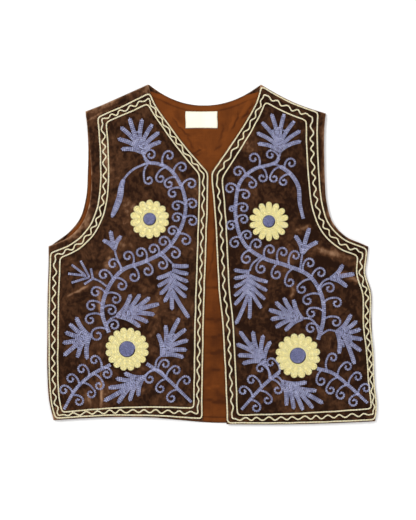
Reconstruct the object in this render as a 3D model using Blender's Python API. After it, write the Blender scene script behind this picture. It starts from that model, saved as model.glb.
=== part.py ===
# Embroidered velvet waistcoat, laid flat with its fronts up.
# Lengths are in metres. X runs to the wearer's left, Y from the hem to the neck
# and Z up from the surface. Right and left are the wearer's own.

from collections import namedtuple
from math import ceil, cos, exp, pi, radians, sin

import bmesh
import bpy
from mathutils import Vector
from mathutils.bvhtree import BVHTree
from mathutils.geometry import intersect_line_line_2d

# Cloth layers, from the surface up
BACK_THICKNESS = 0.0016
LINING_THICKNESS = 0.0010
FRONT_THICKNESS = 0.0020
SEAM_GAP = 0.0003
LINING_Z = BACK_THICKNESS + SEAM_GAP
SEAM_Z = BACK_THICKNESS + SEAM_GAP
FRONT_Z = LINING_Z + LINING_THICKNESS + 0.0005

# How the fronts lie on the back: they swell between their edges
FRONT_SWELL = 0.0012
SWELL_WIDTH = 0.050
ROWS_PER_SECTION = 2
BEND_ROWS = 3 * ROWS_PER_SECTION
FRONT_COLUMNS = (0.0, 0.035, 0.09, 0.18, 0.3, 0.43, 0.57, 0.7, 0.82, 0.91, 0.965, 1.0)

# Neckline of the back
NECK_POINT_RIGHT = Vector((-0.0970, 0.2615))
NECK_POINT_LEFT = Vector((0.0745, 0.2605))
NECK_LOWEST = Vector((-0.0120, 0.2290))
NECK_POWER = 2.1
NECK_COLUMNS = 8
LINING_EDGE_INSET = 0.0012
LINING_SEAM_INSET = 0.0095

# Label
LABEL_WIDTH = 0.049
LABEL_HEIGHT = 0.026
LABEL_THICKNESS = 0.0008
LABEL_CENTRE = Vector((-0.0157, 0.2068))

# Thread, which stands on the velvet in raised rows
THREAD_GAP = 0.0004
CREAM_WIDTH = 0.0021
CREAM_HEIGHT = 0.0010
LINE_STEP = 0.018
LINE_OVERRUN = 0.040
WAVE_PERIOD = 0.0180
WAVE_HEIGHT = 0.0035
WAVE_CLEARANCE = 0.0010
STEM_HEIGHT = 0.0011
STEM_STEP = 0.014
LEAF_HEIGHT = 0.0011
STALK_LENGTH = 0.0015
HANGING_ROOT = 0.62
PETAL_HEIGHT = 0.0013
PETAL_DEPTH = 0.17
CENTRE_HEIGHT = 0.0015
CENTRE_SIDES = 20

# A front is lofted through its sections. Each joins a point on the outer edge,
# which is the side seam and then the armhole, to one on the inner edge, which is
# the centre front and then the neck. A corner is named where an edge turns.
Section = namedtuple("Section", "level outer_x outer_y inner_x inner_y corner")

RIGHT_FRONT = (
    Section("hem", -0.2425, -0.2535, -0.0135, -0.2545, ""),
    Section("above the hem", -0.2490, -0.2250, -0.0140, -0.2220, ""),
    Section("hip", -0.2520, -0.1800, -0.0130, -0.1760, ""),
    Section("waist", -0.2520, -0.1200, -0.0120, -0.1120, ""),
    Section("ribs", -0.2515, -0.0600, -0.0100, -0.0460, ""),
    Section("low chest", -0.2500, -0.0100, -0.0080, 0.0080, ""),
    Section("underarm", -0.2500, 0.0130, -0.0072, 0.0340, "outer"),
    Section("armhole start", -0.2400, 0.0168, -0.0066, 0.0460, ""),
    Section("armhole curve", -0.2190, 0.0270, -0.0060, 0.0640, ""),
    Section("armhole turn", -0.1990, 0.0475, -0.0054, 0.0860, ""),
    Section("chest", -0.1880, 0.0760, -0.0050, 0.1075, ""),
    Section("neck break", -0.1845, 0.1080, -0.0050, 0.1270, "inner"),
    Section("high chest", -0.1855, 0.1430, -0.0370, 0.1635, ""),
    Section("collarbone", -0.1885, 0.1800, -0.0640, 0.1990, ""),
    Section("below the shoulder", -0.1925, 0.2110, -0.0915, 0.2420, ""),
    Section("shoulder", -0.1935, 0.2195, -0.0975, 0.2610, ""),
)

LEFT_FRONT = (
    Section("hem", 0.2505, -0.2550, 0.0225, -0.2595, ""),
    Section("above the hem", 0.2530, -0.2350, 0.0222, -0.2380, ""),
    Section("hip", 0.2500, -0.1980, 0.0203, -0.1900, ""),
    Section("waist", 0.2480, -0.1500, 0.0178, -0.1400, ""),
    Section("high waist", 0.2440, -0.1050, 0.0150, -0.0950, ""),
    Section("ribs", 0.2440, -0.0560, 0.0103, -0.0560, ""),
    Section("side crease", 0.2355, -0.0260, 0.0085, -0.0200, ""),
    Section("low chest", 0.2380, -0.0050, 0.0070, 0.0100, ""),
    Section("underarm", 0.2400, 0.0125, 0.0058, 0.0360, "outer"),
    Section("armhole start", 0.2300, 0.0168, 0.0050, 0.0500, ""),
    Section("armhole curve", 0.2060, 0.0275, 0.0035, 0.0680, ""),
    Section("armhole turn", 0.1850, 0.0500, 0.0020, 0.0880, ""),
    Section("chest", 0.1755, 0.0830, -0.0002, 0.1080, ""),
    Section("neck break", 0.1732, 0.1150, -0.0015, 0.1262, "inner"),
    Section("high chest", 0.1722, 0.1500, 0.0260, 0.1655, ""),
    Section("collarbone", 0.1722, 0.1830, 0.0500, 0.2020, ""),
    Section("below the shoulder", 0.1737, 0.2080, 0.0705, 0.2420, ""),
    Section("shoulder", 0.1750, 0.2165, 0.0750, 0.2610, ""),
)

# The back has a point on its right edge and one on its left edge at each section.
# Its lining stops short of a sewn seam and runs out to a free edge.
BackSection = namedtuple("BackSection", "level right_x right_y left_x left_y sewn corner")

BACK = (
    BackSection("hem", -0.2415, -0.2510, 0.2495, -0.2535, True, ""),
    BackSection("above the hem", -0.2480, -0.2250, 0.2518, -0.2350, True, ""),
    BackSection("hip", -0.2510, -0.1800, 0.2488, -0.1980, True, ""),
    BackSection("waist", -0.2510, -0.1200, 0.2465, -0.1450, True, ""),
    BackSection("ribs", -0.2505, -0.0600, 0.2428, -0.0700, True, ""),
    BackSection("low chest", -0.2490, -0.0150, 0.2345, -0.0260, True, ""),
    BackSection("underarm", -0.2490, 0.0120, 0.2390, 0.0115, True, "outer"),
    BackSection("armhole start", -0.2405, 0.0185, 0.2290, 0.0162, True, ""),
    BackSection("armhole curve", -0.2190, 0.0345, 0.2055, 0.0270, False, ""),
    BackSection("armhole turn", -0.2020, 0.0560, 0.1845, 0.0495, False, ""),
    BackSection("chest", -0.1935, 0.0840, 0.1750, 0.0825, False, ""),
    BackSection("high chest", -0.1900, 0.1300, 0.1724, 0.1250, False, ""),
    BackSection("collarbone", -0.1897, 0.1750, 0.1714, 0.1700, False, ""),
    BackSection("below the shoulder", -0.1920, 0.2080, 0.1727, 0.2060, False, ""),
    BackSection("shoulder", -0.1930, 0.2185, 0.1740, 0.2155, False, ""),
)

# The back's hem lifts towards its right and dips in the middle, at shares of its
# width and each over a share of it
HemBend = namedtuple("HemBend", "place reach height")
BACK_HEM = (HemBend(0.20, 0.13, 0.0050), HemBend(0.52, 0.13, -0.0055))

# How far a front's hem rises and its shoulder sags between their ends
PanelRise = namedtuple("PanelRise", "hem shoulder")
RIGHT_RISE = PanelRise(0.0055, -0.0015)
LEFT_RISE = PanelRise(-0.0020, -0.0050)

# Broad folds of the fronts: each is a soft ridge along its own direction
Fold = namedtuple("Fold", "x y heading length width height")

RIGHT_FOLDS = (
    Fold(-0.168, -0.215, 92.0, 0.045, 0.030, 0.0014),
    Fold(-0.205, -0.058, 28.0, 0.045, 0.028, 0.0012),
    Fold(-0.150, 0.165, 100.0, 0.060, 0.035, 0.0010),
)

LEFT_FOLDS = (
    Fold(0.205, -0.012, -22.0, 0.050, 0.026, 0.0017),
    Fold(0.205, -0.075, -12.0, 0.045, 0.030, 0.0012),
    Fold(0.085, 0.010, 78.0, 0.080, 0.040, 0.0010),
    Fold(0.180, -0.215, 95.0, 0.050, 0.035, 0.0012),
)

# Distance of the cream lines from each edge of a front, at its start and its end,
# going up the side, the armhole and the shoulder and down the neck and the front
LineInset = namedtuple("LineInset", "edge outer_start outer_end inner_start inner_end")

RIGHT_INSETS = (
    LineInset("side", 0.0035, 0.0028, 0.0160, 0.0178),
    LineInset("armhole", 0.0105, 0.0180, 0.0225, 0.0300),
    LineInset("shoulder", 0.0157, 0.0133, 0.0269, 0.0267),
    LineInset("neck", 0.0018, 0.0024, 0.0098, 0.0130),
    LineInset("front", 0.0016, 0.0014, 0.0138, 0.0134),
    LineInset("hem", 0.0038, 0.0030, 0.0194, 0.0108),
)

LEFT_INSETS = (
    LineInset("side", 0.0022, 0.0030, 0.0080, 0.0150),
    LineInset("armhole", 0.0045, 0.0120, 0.0190, 0.0290),
    LineInset("shoulder", 0.0022, 0.0022, 0.0190, 0.0200),
    LineInset("neck", 0.0018, 0.0024, 0.0128, 0.0190),
    LineInset("front", 0.0014, 0.0014, 0.0166, 0.0166),
    LineInset("hem", 0.0024, 0.0028, 0.0137, 0.0200),
)

# A daisy: petals round a centre
Flower = namedtuple("Flower", "name x y radius centre_radius petals")

RIGHT_FLOWERS = (
    Flower("upper", -0.0950, 0.0544, 0.0300, 0.0105, 14),
    Flower("lower", -0.1294, -0.1444, 0.0335, 0.0130, 16),
)

LEFT_FLOWERS = (
    Flower("upper", 0.0874, 0.0509, 0.0300, 0.0102, 14),
    Flower("lower", 0.1317, -0.1545, 0.0345, 0.0130, 16),
)

# A leaf: a fan of narrow fingers round its heading, in degrees from +X. Its
# longest finger stands at a share of the fan, counted clockwise, and the others
# shorten away from it by a power, the taper. All spring from a spine, which leans
# away from the longest finger by some degrees.
Leaf = namedtuple("Leaf", "name x y heading fan fingers reach side_reach longest taper spine lean width")

RIGHT_LEAVES = (
    Leaf("top", -0.1059, 0.1564, 100.7, 139.5, 8, 0.0585, 0.0340, 0.40, 0.85, 0.014, 0.0, 0.0068),
    Leaf("chest", -0.1485, 0.0085, 103.0, 76.0, 3, 0.0300, 0.0240, 0.50, 1.0, 0.004, 0.0, 0.0068),
    Leaf("twig", -0.1817, -0.0363, 158.0, 112.0, 6, 0.0430, 0.0180, 0.50, 0.4, 0.014, 0.0, 0.0042),
    Leaf("middle", -0.1445, -0.0936, 16.0, 82.0, 7, 0.0675, 0.0400, 0.50, 1.0, 0.022, 0.0, 0.0068),
    Leaf("outer", -0.1863, -0.1243, 194.5, 135.0, 7, 0.0510, 0.0370, 0.333, 2.5, 0.012, -20.0, 0.0068),
    Leaf("inner", -0.0761, -0.1534, 47.5, 106.0, 7, 0.0636, 0.0345, 0.333, 1.2, 0.018, 0.0, 0.0066),
    Leaf("bottom", -0.1047, -0.1875, 211.0, 86.0, 7, 0.0710, 0.0310, 0.50, 1.1, 0.022, 0.0, 0.0068),
)

LEFT_LEAVES = (
    Leaf("top", 0.1041, 0.1585, 93.0, 135.0, 8, 0.0625, 0.0370, 0.48, 0.85, 0.016, 0.0, 0.0064),
    Leaf("chest", 0.1386, 0.0025, 74.5, 75.0, 3, 0.0410, 0.0305, 0.50, 1.0, 0.005, 0.0, 0.0068),
    Leaf("twig", 0.1823, -0.0360, 10.5, 75.0, 3, 0.0375, 0.0290, 0.50, 1.0, 0.005, 0.0, 0.0068),
    Leaf("middle", 0.1380, -0.0975, 165.0, 100.0, 7, 0.0535, 0.0330, 0.50, 0.6, 0.018, 0.0, 0.0068),
    Leaf("outer", 0.1915, -0.1174, -17.0, 134.0, 7, 0.0580, 0.0352, 0.833, 2.4, 0.012, 30.0, 0.0066),
    Leaf("inner", 0.0800, -0.1641, 128.5, 110.0, 7, 0.0610, 0.0345, 0.50, 1.1, 0.018, 0.0, 0.0066),
    Leaf("bottom", 0.1080, -0.1940, -41.0, 78.0, 7, 0.0715, 0.0385, 0.333, 1.0, 0.022, 0.0, 0.0066),
)

# A hanging leaf: fingers leave its spine at even steps on both sides and shorten
# downwards, and it ends in a finger straight down and a longer tail towards the
# centre front
HangingLeaf = namedtuple("HangingLeaf", "name x y inward outward inward_shrink outward_shrink"
                                        " inner_first outer_first step end tail_down tail_side width")
RIGHT_HANGING = HangingLeaf("hanging", -0.0607, -0.0145, 0.0265, 0.0245, 0.010, 0.055,
                            0.0030, 0.0225, 0.0122, 0.0710, 0.0830, 0.0262, 0.0064)
LEFT_HANGING = HangingLeaf("hanging", 0.0578, -0.0260, 0.0252, 0.0290, 0.004, 0.040,
                           -0.0030, 0.0160, 0.0137, 0.0735, 0.0812, 0.0213, 0.0064)

# Stems are smooth curves through a few points, each with its width at its base,
# at two thirds of its length and at its end
Stem = namedtuple("Stem", "name base_width full_width end_width points")

RIGHT_STEMS = (
    Stem("main_stem", 0.0045, 0.0060, 0.0060, (
        (-0.1025, 0.1480), (-0.0975, 0.1415), (-0.0860, 0.1400), (-0.0690, 0.1340),
        (-0.0480, 0.1080),
        (-0.0398, 0.0760), (-0.0485, 0.0380), (-0.0720, 0.0060), (-0.1040, -0.0110),
        (-0.1360, -0.0230), (-0.1580, -0.0500), (-0.1675, -0.0890), (-0.1572, -0.1190),
    )),
    Stem("pod_stem", 0.0030, 0.0066, 0.0030, (
        (-0.1030, 0.1385), (-0.1200, 0.1305), (-0.1345, 0.1150), (-0.1415, 0.0850),
        (-0.1530, 0.0570),
    )),
    Stem("outer_branch", 0.0055, 0.0045, 0.0030, (
        (-0.1545, -0.1680), (-0.1830, -0.1830), (-0.2060, -0.2030), (-0.2262, -0.2365),
    )),
    Stem("inner_branch", 0.0055, 0.0045, 0.0030, (
        (-0.1000, -0.1665), (-0.0780, -0.1810), (-0.0540, -0.2030), (-0.0310, -0.2255),
    )),
)

LEFT_STEMS = (
    Stem("main_stem", 0.0045, 0.0060, 0.0060, (
        (0.1025, 0.1480), (0.0990, 0.1420), (0.0900, 0.1380), (0.0670, 0.1320),
        (0.0445, 0.1130),
        (0.0368, 0.0800), (0.0385, 0.0450), (0.0520, 0.0140), (0.0790, -0.0050),
        (0.1130, -0.0160), (0.1500, -0.0330), (0.1690, -0.0660), (0.1705, -0.1010),
        (0.1625, -0.1300),
    )),
    Stem("pod_stem", 0.0030, 0.0066, 0.0030, (
        (0.1060, 0.1345), (0.1180, 0.1260), (0.1325, 0.1040), (0.1345, 0.0790),
        (0.1400, 0.0550),
    )),
    Stem("inner_branch", 0.0055, 0.0045, 0.0030, (
        (0.1040, -0.1790), (0.0830, -0.1960), (0.0620, -0.2180), (0.0455, -0.2370),
    )),
    Stem("outer_branch", 0.0055, 0.0045, 0.0030, (
        (0.1610, -0.1740), (0.1830, -0.1800), (0.2080, -0.1990), (0.2385, -0.2270),
    )),
)

VELVET = ("brown velvet", (0.026, 0.011, 0.007), 0.85)
LINING = ("rust cotton", (0.150, 0.045, 0.014), 0.90)
LABEL = ("cream tape", (0.800, 0.760, 0.640), 0.80)
LAVENDER = ("lavender thread", (0.215, 0.230, 0.510), 0.65)
YELLOW = ("yellow thread", (0.890, 0.780, 0.290), 0.65)
CREAM = ("cream thread", (0.830, 0.740, 0.420), 0.65)


def clear_scene():
    for old in list(bpy.data.objects):
        bpy.data.objects.remove(old)


def make_material(look):
    name, colour, roughness = look
    material = bpy.data.materials.new(name)
    material.use_nodes = True
    shader = material.node_tree.nodes["Principled BSDF"]
    shader.inputs["Base Color"].default_value = (*colour, 1.0)
    shader.inputs["Roughness"].default_value = roughness
    shader.inputs["Metallic"].default_value = 0.0
    return material


def add_object(name, vertices, faces, look):
    """A closed mesh, triangulated, with its faces turned outwards."""
    mesh = bpy.data.meshes.new(name)
    mesh.from_pydata([tuple(v) for v in vertices], [], faces)
    body = bmesh.new()
    body.from_mesh(mesh)
    bmesh.ops.triangulate(body, faces=body.faces[:])
    bmesh.ops.recalc_face_normals(body, faces=body.faces[:])
    body.to_mesh(mesh)
    body.free()
    piece = bpy.data.objects.new(name, mesh)
    bpy.context.collection.objects.link(piece)
    mesh.materials.append(make_material(look))
    return piece


def curve_point(points, corners, index, share):
    """A point on the smooth curve through points, past the one at index by share."""
    start, end = points[index], points[index + 1]
    chord = (end - start).length

    def slope(at):
        ahead = points[at + 1] - points[at] if at + 1 < len(points) else None
        behind = points[at] - points[at - 1] if at > 0 else None
        if at in corners or ahead is None or behind is None:
            return (end - start) / chord
        near, far = ahead.length, behind.length
        return (ahead / near * far + behind / far * near) / (near + far)

    a, b = slope(index) * chord, slope(index + 1) * chord
    s = share
    return (start * (2 * s ** 3 - 3 * s ** 2 + 1) + a * (s ** 3 - 2 * s ** 2 + s)
            + end * (3 * s ** 2 - 2 * s ** 3) + b * (s ** 3 - s ** 2))


def smooth_curve(points, step):
    """Even points along the smooth curve through a few points."""
    points = [Vector(p) for p in points]
    fine = [curve_point(points, (), i, k / 8) for i in range(len(points) - 1) for k in range(8)]
    return resample(fine + [points[-1]], step)


def resample(points, step):
    """Points a fixed step apart along a run of points, with both its ends."""
    lengths = [(b - a).length for a, b in zip(points, points[1:])]
    total = sum(lengths)
    count = max(2, ceil(total / step))
    result, index, passed = [], 0, 0.0
    for k in range(count):
        target = total * k / count
        while passed + lengths[index] < target:
            passed += lengths[index]
            index += 1
        result.append(points[index].lerp(points[index + 1], (target - passed) / lengths[index]))
    return result + [points[-1]]


def edge_points(points, corners):
    """The edge through a panel's sections, with rows added between them."""
    rows = [curve_point(points, corners, i, k / ROWS_PER_SECTION)
            for i in range(len(points) - 1) for k in range(ROWS_PER_SECTION)]
    return rows + [points[-1]]


def corner_rows(sections, side):
    return [i for i, section in enumerate(sections) if section.corner == side]


def front_plan(sections, rise):
    """Rows of points that cover a front, from its hem to its shoulder."""
    outer = [Vector((s.outer_x, s.outer_y)) for s in sections]
    inner = [Vector((s.inner_x, s.inner_y)) for s in sections]
    outer = edge_points(outer, corner_rows(sections, "outer"))
    inner = edge_points(inner, corner_rows(sections, "inner"))
    last = len(outer) - 1
    plan = []
    for r, (start, end) in enumerate(zip(outer, inner)):
        bend = (rise.hem * max(0.0, 1 - r / BEND_ROWS)
                + rise.shoulder * max(0.0, 1 - (last - r) / BEND_ROWS))
        row = [start.lerp(end, t) for t in FRONT_COLUMNS]
        for point, t in zip(row, FRONT_COLUMNS):
            point.y += bend * sin(pi * t)
        plan.append(row)
    return plan


def fold_height(folds, point):
    """Height that the folds add to a front at a point."""
    height = 0.0
    for fold in folds:
        away = point - Vector((fold.x, fold.y))
        heading = radians(fold.heading)
        along = away.x * cos(heading) + away.y * sin(heading)
        across = away.y * cos(heading) - away.x * sin(heading)
        height += fold.height * exp(-(along / fold.length) ** 2 - (across / fold.width) ** 2)
    return height


def swell(distance):
    """Share of the full swell at a distance from an edge."""
    return sin(0.5 * pi * min(1.0, distance / SWELL_WIDTH))


def front_floor(plan, folds, seam_row):
    """Height of a front's underside at each point of its plan."""
    last = len(plan) - 1
    floor = []
    for r, row in enumerate(plan):
        heights = []
        for c, point in enumerate(row):
            sewn = (c == 0 and r <= seam_row) or r == last
            to_edge = min((point - row[0]).length, (point - row[-1]).length,
                          (point - plan[0][c]).length, (point - plan[last][c]).length)
            lift = (FRONT_SWELL + fold_height(folds, point)) * swell(to_edge)
            heights.append(SEAM_Z if sewn else FRONT_Z + lift)
        floor.append(heights)
    return floor


def add_wall(name, plan, floor, thickness, look):
    """A closed wall over a plan of rows, at the height of its floor."""
    rows, columns = len(plan), len(plan[0])
    under = [(*plan[r][c], floor[r][c]) for r in range(rows) for c in range(columns)]
    over = [(x, y, z + thickness) for x, y, z in under]
    size = len(under)
    faces = []
    for r in range(rows - 1):
        for c in range(columns - 1):
            a = r * columns + c
            quad = (a, a + 1, a + 1 + columns, a + columns)
            faces += [quad, tuple(size + v for v in reversed(quad))]
    rim = [c for c in range(columns)]
    rim += [r * columns + columns - 1 for r in range(1, rows)]
    rim += [(rows - 1) * columns + c for c in range(columns - 2, -1, -1)]
    rim += [r * columns for r in range(rows - 2, 0, -1)]
    for a, b in zip(rim, rim[1:] + rim[:1]):
        faces.append((a, b, size + b, size + a))
    return add_object(name, under + over, faces, look)


def neck_rise(x):
    """Height of the back's top edge at x, along its shoulders and its neckline."""
    right_tip = Vector((BACK[-1].right_x, BACK[-1].right_y))
    left_tip = Vector((BACK[-1].left_x, BACK[-1].left_y))
    if x <= NECK_POINT_RIGHT.x:
        share = (x - right_tip.x) / (NECK_POINT_RIGHT.x - right_tip.x)
        return right_tip.lerp(NECK_POINT_RIGHT, share).y
    if x >= NECK_POINT_LEFT.x:
        share = (x - left_tip.x) / (NECK_POINT_LEFT.x - left_tip.x)
        return left_tip.lerp(NECK_POINT_LEFT, share).y + LEFT_RISE.shoulder * sin(pi * share)
    point = NECK_POINT_RIGHT if x < NECK_LOWEST.x else NECK_POINT_LEFT
    share = abs((x - NECK_LOWEST.x) / (point.x - NECK_LOWEST.x))
    return NECK_LOWEST.y + (point.y - NECK_LOWEST.y) * share ** NECK_POWER


def back_columns():
    """Shares of the back's width at which its columns stand, with its neck points."""
    right, left = BACK[-1].right_x, BACK[-1].left_x
    first = (NECK_POINT_RIGHT.x - right) / (left - right)
    second = (NECK_POINT_LEFT.x - right) / (left - right)
    neck = [first + (second - first) * k / NECK_COLUMNS for k in range(NECK_COLUMNS + 1)]
    return [0.0, first / 2] + neck + [(1 + second) / 2, 1.0]


def back_plan(seam_inset, edge_inset):
    """Rows that cover the back, drawn in by one inset at its seams and one at its edges."""
    insets = [seam_inset if s.sewn else edge_inset for s in BACK]
    right = [Vector((s.right_x + inset, s.right_y)) for s, inset in zip(BACK, insets)]
    left = [Vector((s.left_x - inset, s.left_y)) for s, inset in zip(BACK, insets)]
    right = edge_points(right, corner_rows(BACK, "outer"))
    left = edge_points(left, corner_rows(BACK, "outer"))
    first, last = corner_rows(BACK, "outer")[0] * ROWS_PER_SECTION, len(right) - 1
    plan = []
    for r, (start, end) in enumerate(zip(right, left)):
        row = [start.lerp(end, t) for t in back_columns()]
        share = max(0.0, (r - first) / (last - first))
        for point, top in zip(row, [right[-1].lerp(left[-1], t) for t in back_columns()]):
            on_neck = NECK_POINT_RIGHT.x + 0.001 < top.x < NECK_POINT_LEFT.x - 0.001
            drop = edge_inset if on_neck else seam_inset
            point.y += (neck_rise(top.x) - top.y - drop) * share
        low = max(0.0, 1 - r / BEND_ROWS)
        for point, t in zip(row, back_columns()):
            bends = (b.height * exp(-((t - b.place) / b.reach) ** 2) for b in BACK_HEM)
            point.y += (edge_inset + sum(bends)) * low
        plan.append(row)
    return plan


def add_back():
    plan = back_plan(0.0, 0.0)
    floor = [[0.0] * len(row) for row in plan]
    return add_wall("back", plan, floor, BACK_THICKNESS, VELVET)


def add_lining():
    plan = back_plan(LINING_SEAM_INSET, LINING_EDGE_INSET)
    floor = [[LINING_Z] * len(row) for row in plan]
    return add_wall("back_lining", plan, floor, LINING_THICKNESS, LINING)


def add_label():
    half_width, half_height = LABEL_WIDTH / 2, LABEL_HEIGHT / 2
    floor = LINING_Z + LINING_THICKNESS + SEAM_GAP
    corners = [LABEL_CENTRE + Vector((sx * half_width, sy * half_height))
               for sx, sy in ((-1, -1), (1, -1), (1, 1), (-1, 1))]
    plan = [corners[:2], [corners[3], corners[2]]]
    return add_wall("neck_label", plan, [[floor] * 2] * 2, LABEL_THICKNESS, LABEL)


def surface_of(panel):
    return BVHTree.FromPolygons([v.co for v in panel.data.vertices],
                                [tuple(p.vertices) for p in panel.data.polygons])


def seat_height(surface, point):
    """Height just above the velvet at a point of its plan."""
    hit = surface.ray_cast(Vector((*point, 1.0)), Vector((0.0, 0.0, -1.0)))[0]
    return hit.z + THREAD_GAP


def add_plate(name, surface, outline, hole, height, look):
    """A flat-topped piece that lies on the velvet, with an optional round hole."""
    loops = [outline] + ([hole] if hole else [])
    body = bmesh.new()
    for loop in loops:
        ring = [body.verts.new((*p, 0.0)) for p in loop]
        for a, b in zip(ring, ring[1:] + ring[:1]):
            body.edges.new((a, b))
    bmesh.ops.triangle_fill(body, edges=body.edges[:], use_beauty=True, normal=(0.0, 0.0, 1.0))
    body.verts.index_update()
    plan = [v.co.xy for v in body.verts]
    triangles = [tuple(v.index for v in face.verts) for face in body.faces]
    body.free()
    under = [(*p, seat_height(surface, p)) for p in plan]
    over = [(x, y, z + height) for x, y, z in under]
    size = len(under)
    faces = triangles + [tuple(size + v for v in reversed(t)) for t in triangles]
    start = 0
    for loop in loops:
        ring = [start + i for i in range(len(loop))]
        faces += [(a, b, size + b, size + a) for a, b in zip(ring, ring[1:] + ring[:1])]
        start += len(loop)
    return add_object(name, under + over, faces, look)


def side_normal(points, index, closed):
    """Unit normal on the left of a run of points, seen from above."""
    count = len(points)
    before = points[(index - 1) % count] if closed else points[max(0, index - 1)]
    after = points[(index + 1) % count] if closed else points[min(count - 1, index + 1)]
    along = (after - before).normalized()
    return Vector((-along.y, along.x))


def add_ridge(name, surface, points, widths, height, closed, look):
    """A raised row of stitches with a crest, along points that lie on the velvet."""
    vertices = []
    count = len(points)
    for i, point in enumerate(points):
        reach = side_normal(points, i, closed) * widths[i] / 2
        left, right = point + reach, point - reach
        beside = [points[(i + k) % count] if closed else points[min(max(i + k, 0), count - 1)]
                  for k in (-1, 1)]
        halfway = [point.lerp(other, 0.5) for other in beside]
        low = max(seat_height(surface, p) for p in [left, right] + halfway)
        vertices += [(*left, low), (*right, low), (*point, low + height)]
    faces = []
    for i in range(count if closed else count - 1):
        a, b = 3 * i, 3 * ((i + 1) % count)
        for k in range(3):
            n = (k + 1) % 3
            faces.append((a + k, a + n, b + n, b + k))
    if not closed:
        faces += [(0, 1, 2), (3 * count - 1, 3 * count - 2, 3 * count - 3)]
    return add_object(name, vertices, faces, look)


def front_edges(plan, sections):
    """The edges of a front, in the order of its table of insets."""
    underarm = corner_rows(sections, "outer")[0] * ROWS_PER_SECTION
    neck_break = corner_rows(sections, "inner")[0] * ROWS_PER_SECTION
    outer = [row[0] for row in plan]
    inner = [row[-1] for row in plan]
    return (outer[:underarm + 1], outer[underarm:], plan[-1][:],
            inner[:neck_break - 1:-1], inner[neck_break::-1], plan[0][::-1])


def inset_edge(points, start, end, turn):
    """An edge moved inwards, by a distance that changes evenly along it."""
    points = resample(points, LINE_STEP)
    last = len(points) - 1
    moved = []
    for i, point in enumerate(points):
        inset = start + (end - start) * i / last
        moved.append(point + side_normal(points, i, False) * turn * inset)
    moved[0] = moved[0] + (moved[0] - moved[1]).normalized() * LINE_OVERRUN
    moved[-1] = moved[-1] + (moved[-1] - moved[-2]).normalized() * LINE_OVERRUN
    return moved


def meeting_point(first, second):
    """Where one inset edge crosses the next, with the two indices beside it."""
    for i in range(len(first) - 1, 0, -1):
        for j in range(len(second) - 1):
            hit = intersect_line_line_2d(first[i - 1], first[i], second[j], second[j + 1])
            if hit:
                return i, j, hit
    return len(first) - 1, 0, (first[-1] + second[0]) / 2


def line_loop(edges, insets, turn, share):
    """The stretches of a cream line: share 0 is the outer line and 1 the inner."""
    moved = []
    for edge, row in zip(edges, insets):
        start = row.outer_start + (row.inner_start - row.outer_start) * share
        end = row.outer_end + (row.inner_end - row.outer_end) * share
        moved.append(inset_edge(edge, start, end, turn))
    meets = [meeting_point(moved[k - 1], moved[k]) for k in range(len(moved))]
    stretches = []
    for k, points in enumerate(moved):
        begin, finish = meets[k], meets[(k + 1) % len(meets)]
        stretches.append([begin[2]] + points[begin[1] + 1:finish[0]] + [finish[2]])
    return stretches


def add_plain_line(name, surface, stretches):
    points = [p for stretch in stretches for p in resample(stretch, LINE_STEP)[:-1]]
    return add_ridge(name, surface, points, [CREAM_WIDTH] * len(points), CREAM_HEIGHT, True, CREAM)


def add_wavy_line(name, surface, stretches, insets):
    """A line that swings between the plain ones, four points to each wave."""
    points = []
    for stretch, row in zip(stretches, insets):
        spaces = (row.inner_start - row.outer_start, row.inner_end - row.outer_end)
        length = sum((b - a).length for a, b in zip(stretch, stretch[1:]))
        steps = 4 * round(length / WAVE_PERIOD)
        line = resample(stretch, length / steps * 1.0001)
        for i in range(steps):
            space = spaces[0] + (spaces[1] - spaces[0]) * i / steps
            height = min(WAVE_HEIGHT, space / 2 - CREAM_WIDTH - WAVE_CLEARANCE)
            height *= min(1.0, (i + 1) / 4, (steps - i) / 4)
            swing = height * sin(pi / 4 + pi / 2 * i) / sin(pi / 4)
            points.append(line[i] + side_normal(line, i, False) * swing)
    return add_ridge(name, surface, points, [CREAM_WIDTH] * len(points), CREAM_HEIGHT, True, CREAM)


def add_cream_lines(side, surface, edges, insets, turn):
    return [
        add_plain_line(side + "_outer_line", surface, line_loop(edges, insets, turn, 0.0)),
        add_wavy_line(side + "_wavy_line", surface, line_loop(edges, insets, turn, 0.5), insets),
        add_plain_line(side + "_inner_line", surface, line_loop(edges, insets, turn, 1.0)),
    ]


def petal_outline(flower):
    """Round-ended petals: the edge dips in between each two."""
    steps = 4
    centre = Vector((flower.x, flower.y))
    outline = []
    for k in range(flower.petals * steps):
        phase = (k % steps) / steps
        radius = flower.radius * (1 - PETAL_DEPTH * (1 - sin(pi * phase)) ** 1.5)
        angle = 2 * pi * k / (flower.petals * steps)
        outline.append(centre + radius * Vector((cos(angle), sin(angle))))
    return outline


def circle(x, y, radius):
    turns = [2 * pi * k / CENTRE_SIDES for k in range(CENTRE_SIDES)]
    return [Vector((x + radius * cos(a), y + radius * sin(a))) for a in turns]


def add_flower(side, surface, flower):
    name = side + "_" + flower.name + "_flower"
    hole = circle(flower.x, flower.y, flower.centre_radius + SEAM_GAP)
    core = circle(flower.x, flower.y, flower.centre_radius)
    return [
        add_plate(name + "_petals", surface, petal_outline(flower), hole, PETAL_HEIGHT, YELLOW),
        add_plate(name + "_centre", surface, core, None, CENTRE_HEIGHT, LAVENDER),
    ]


def heading_vector(degrees):
    return Vector((cos(radians(degrees)), sin(radians(degrees))))


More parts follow.
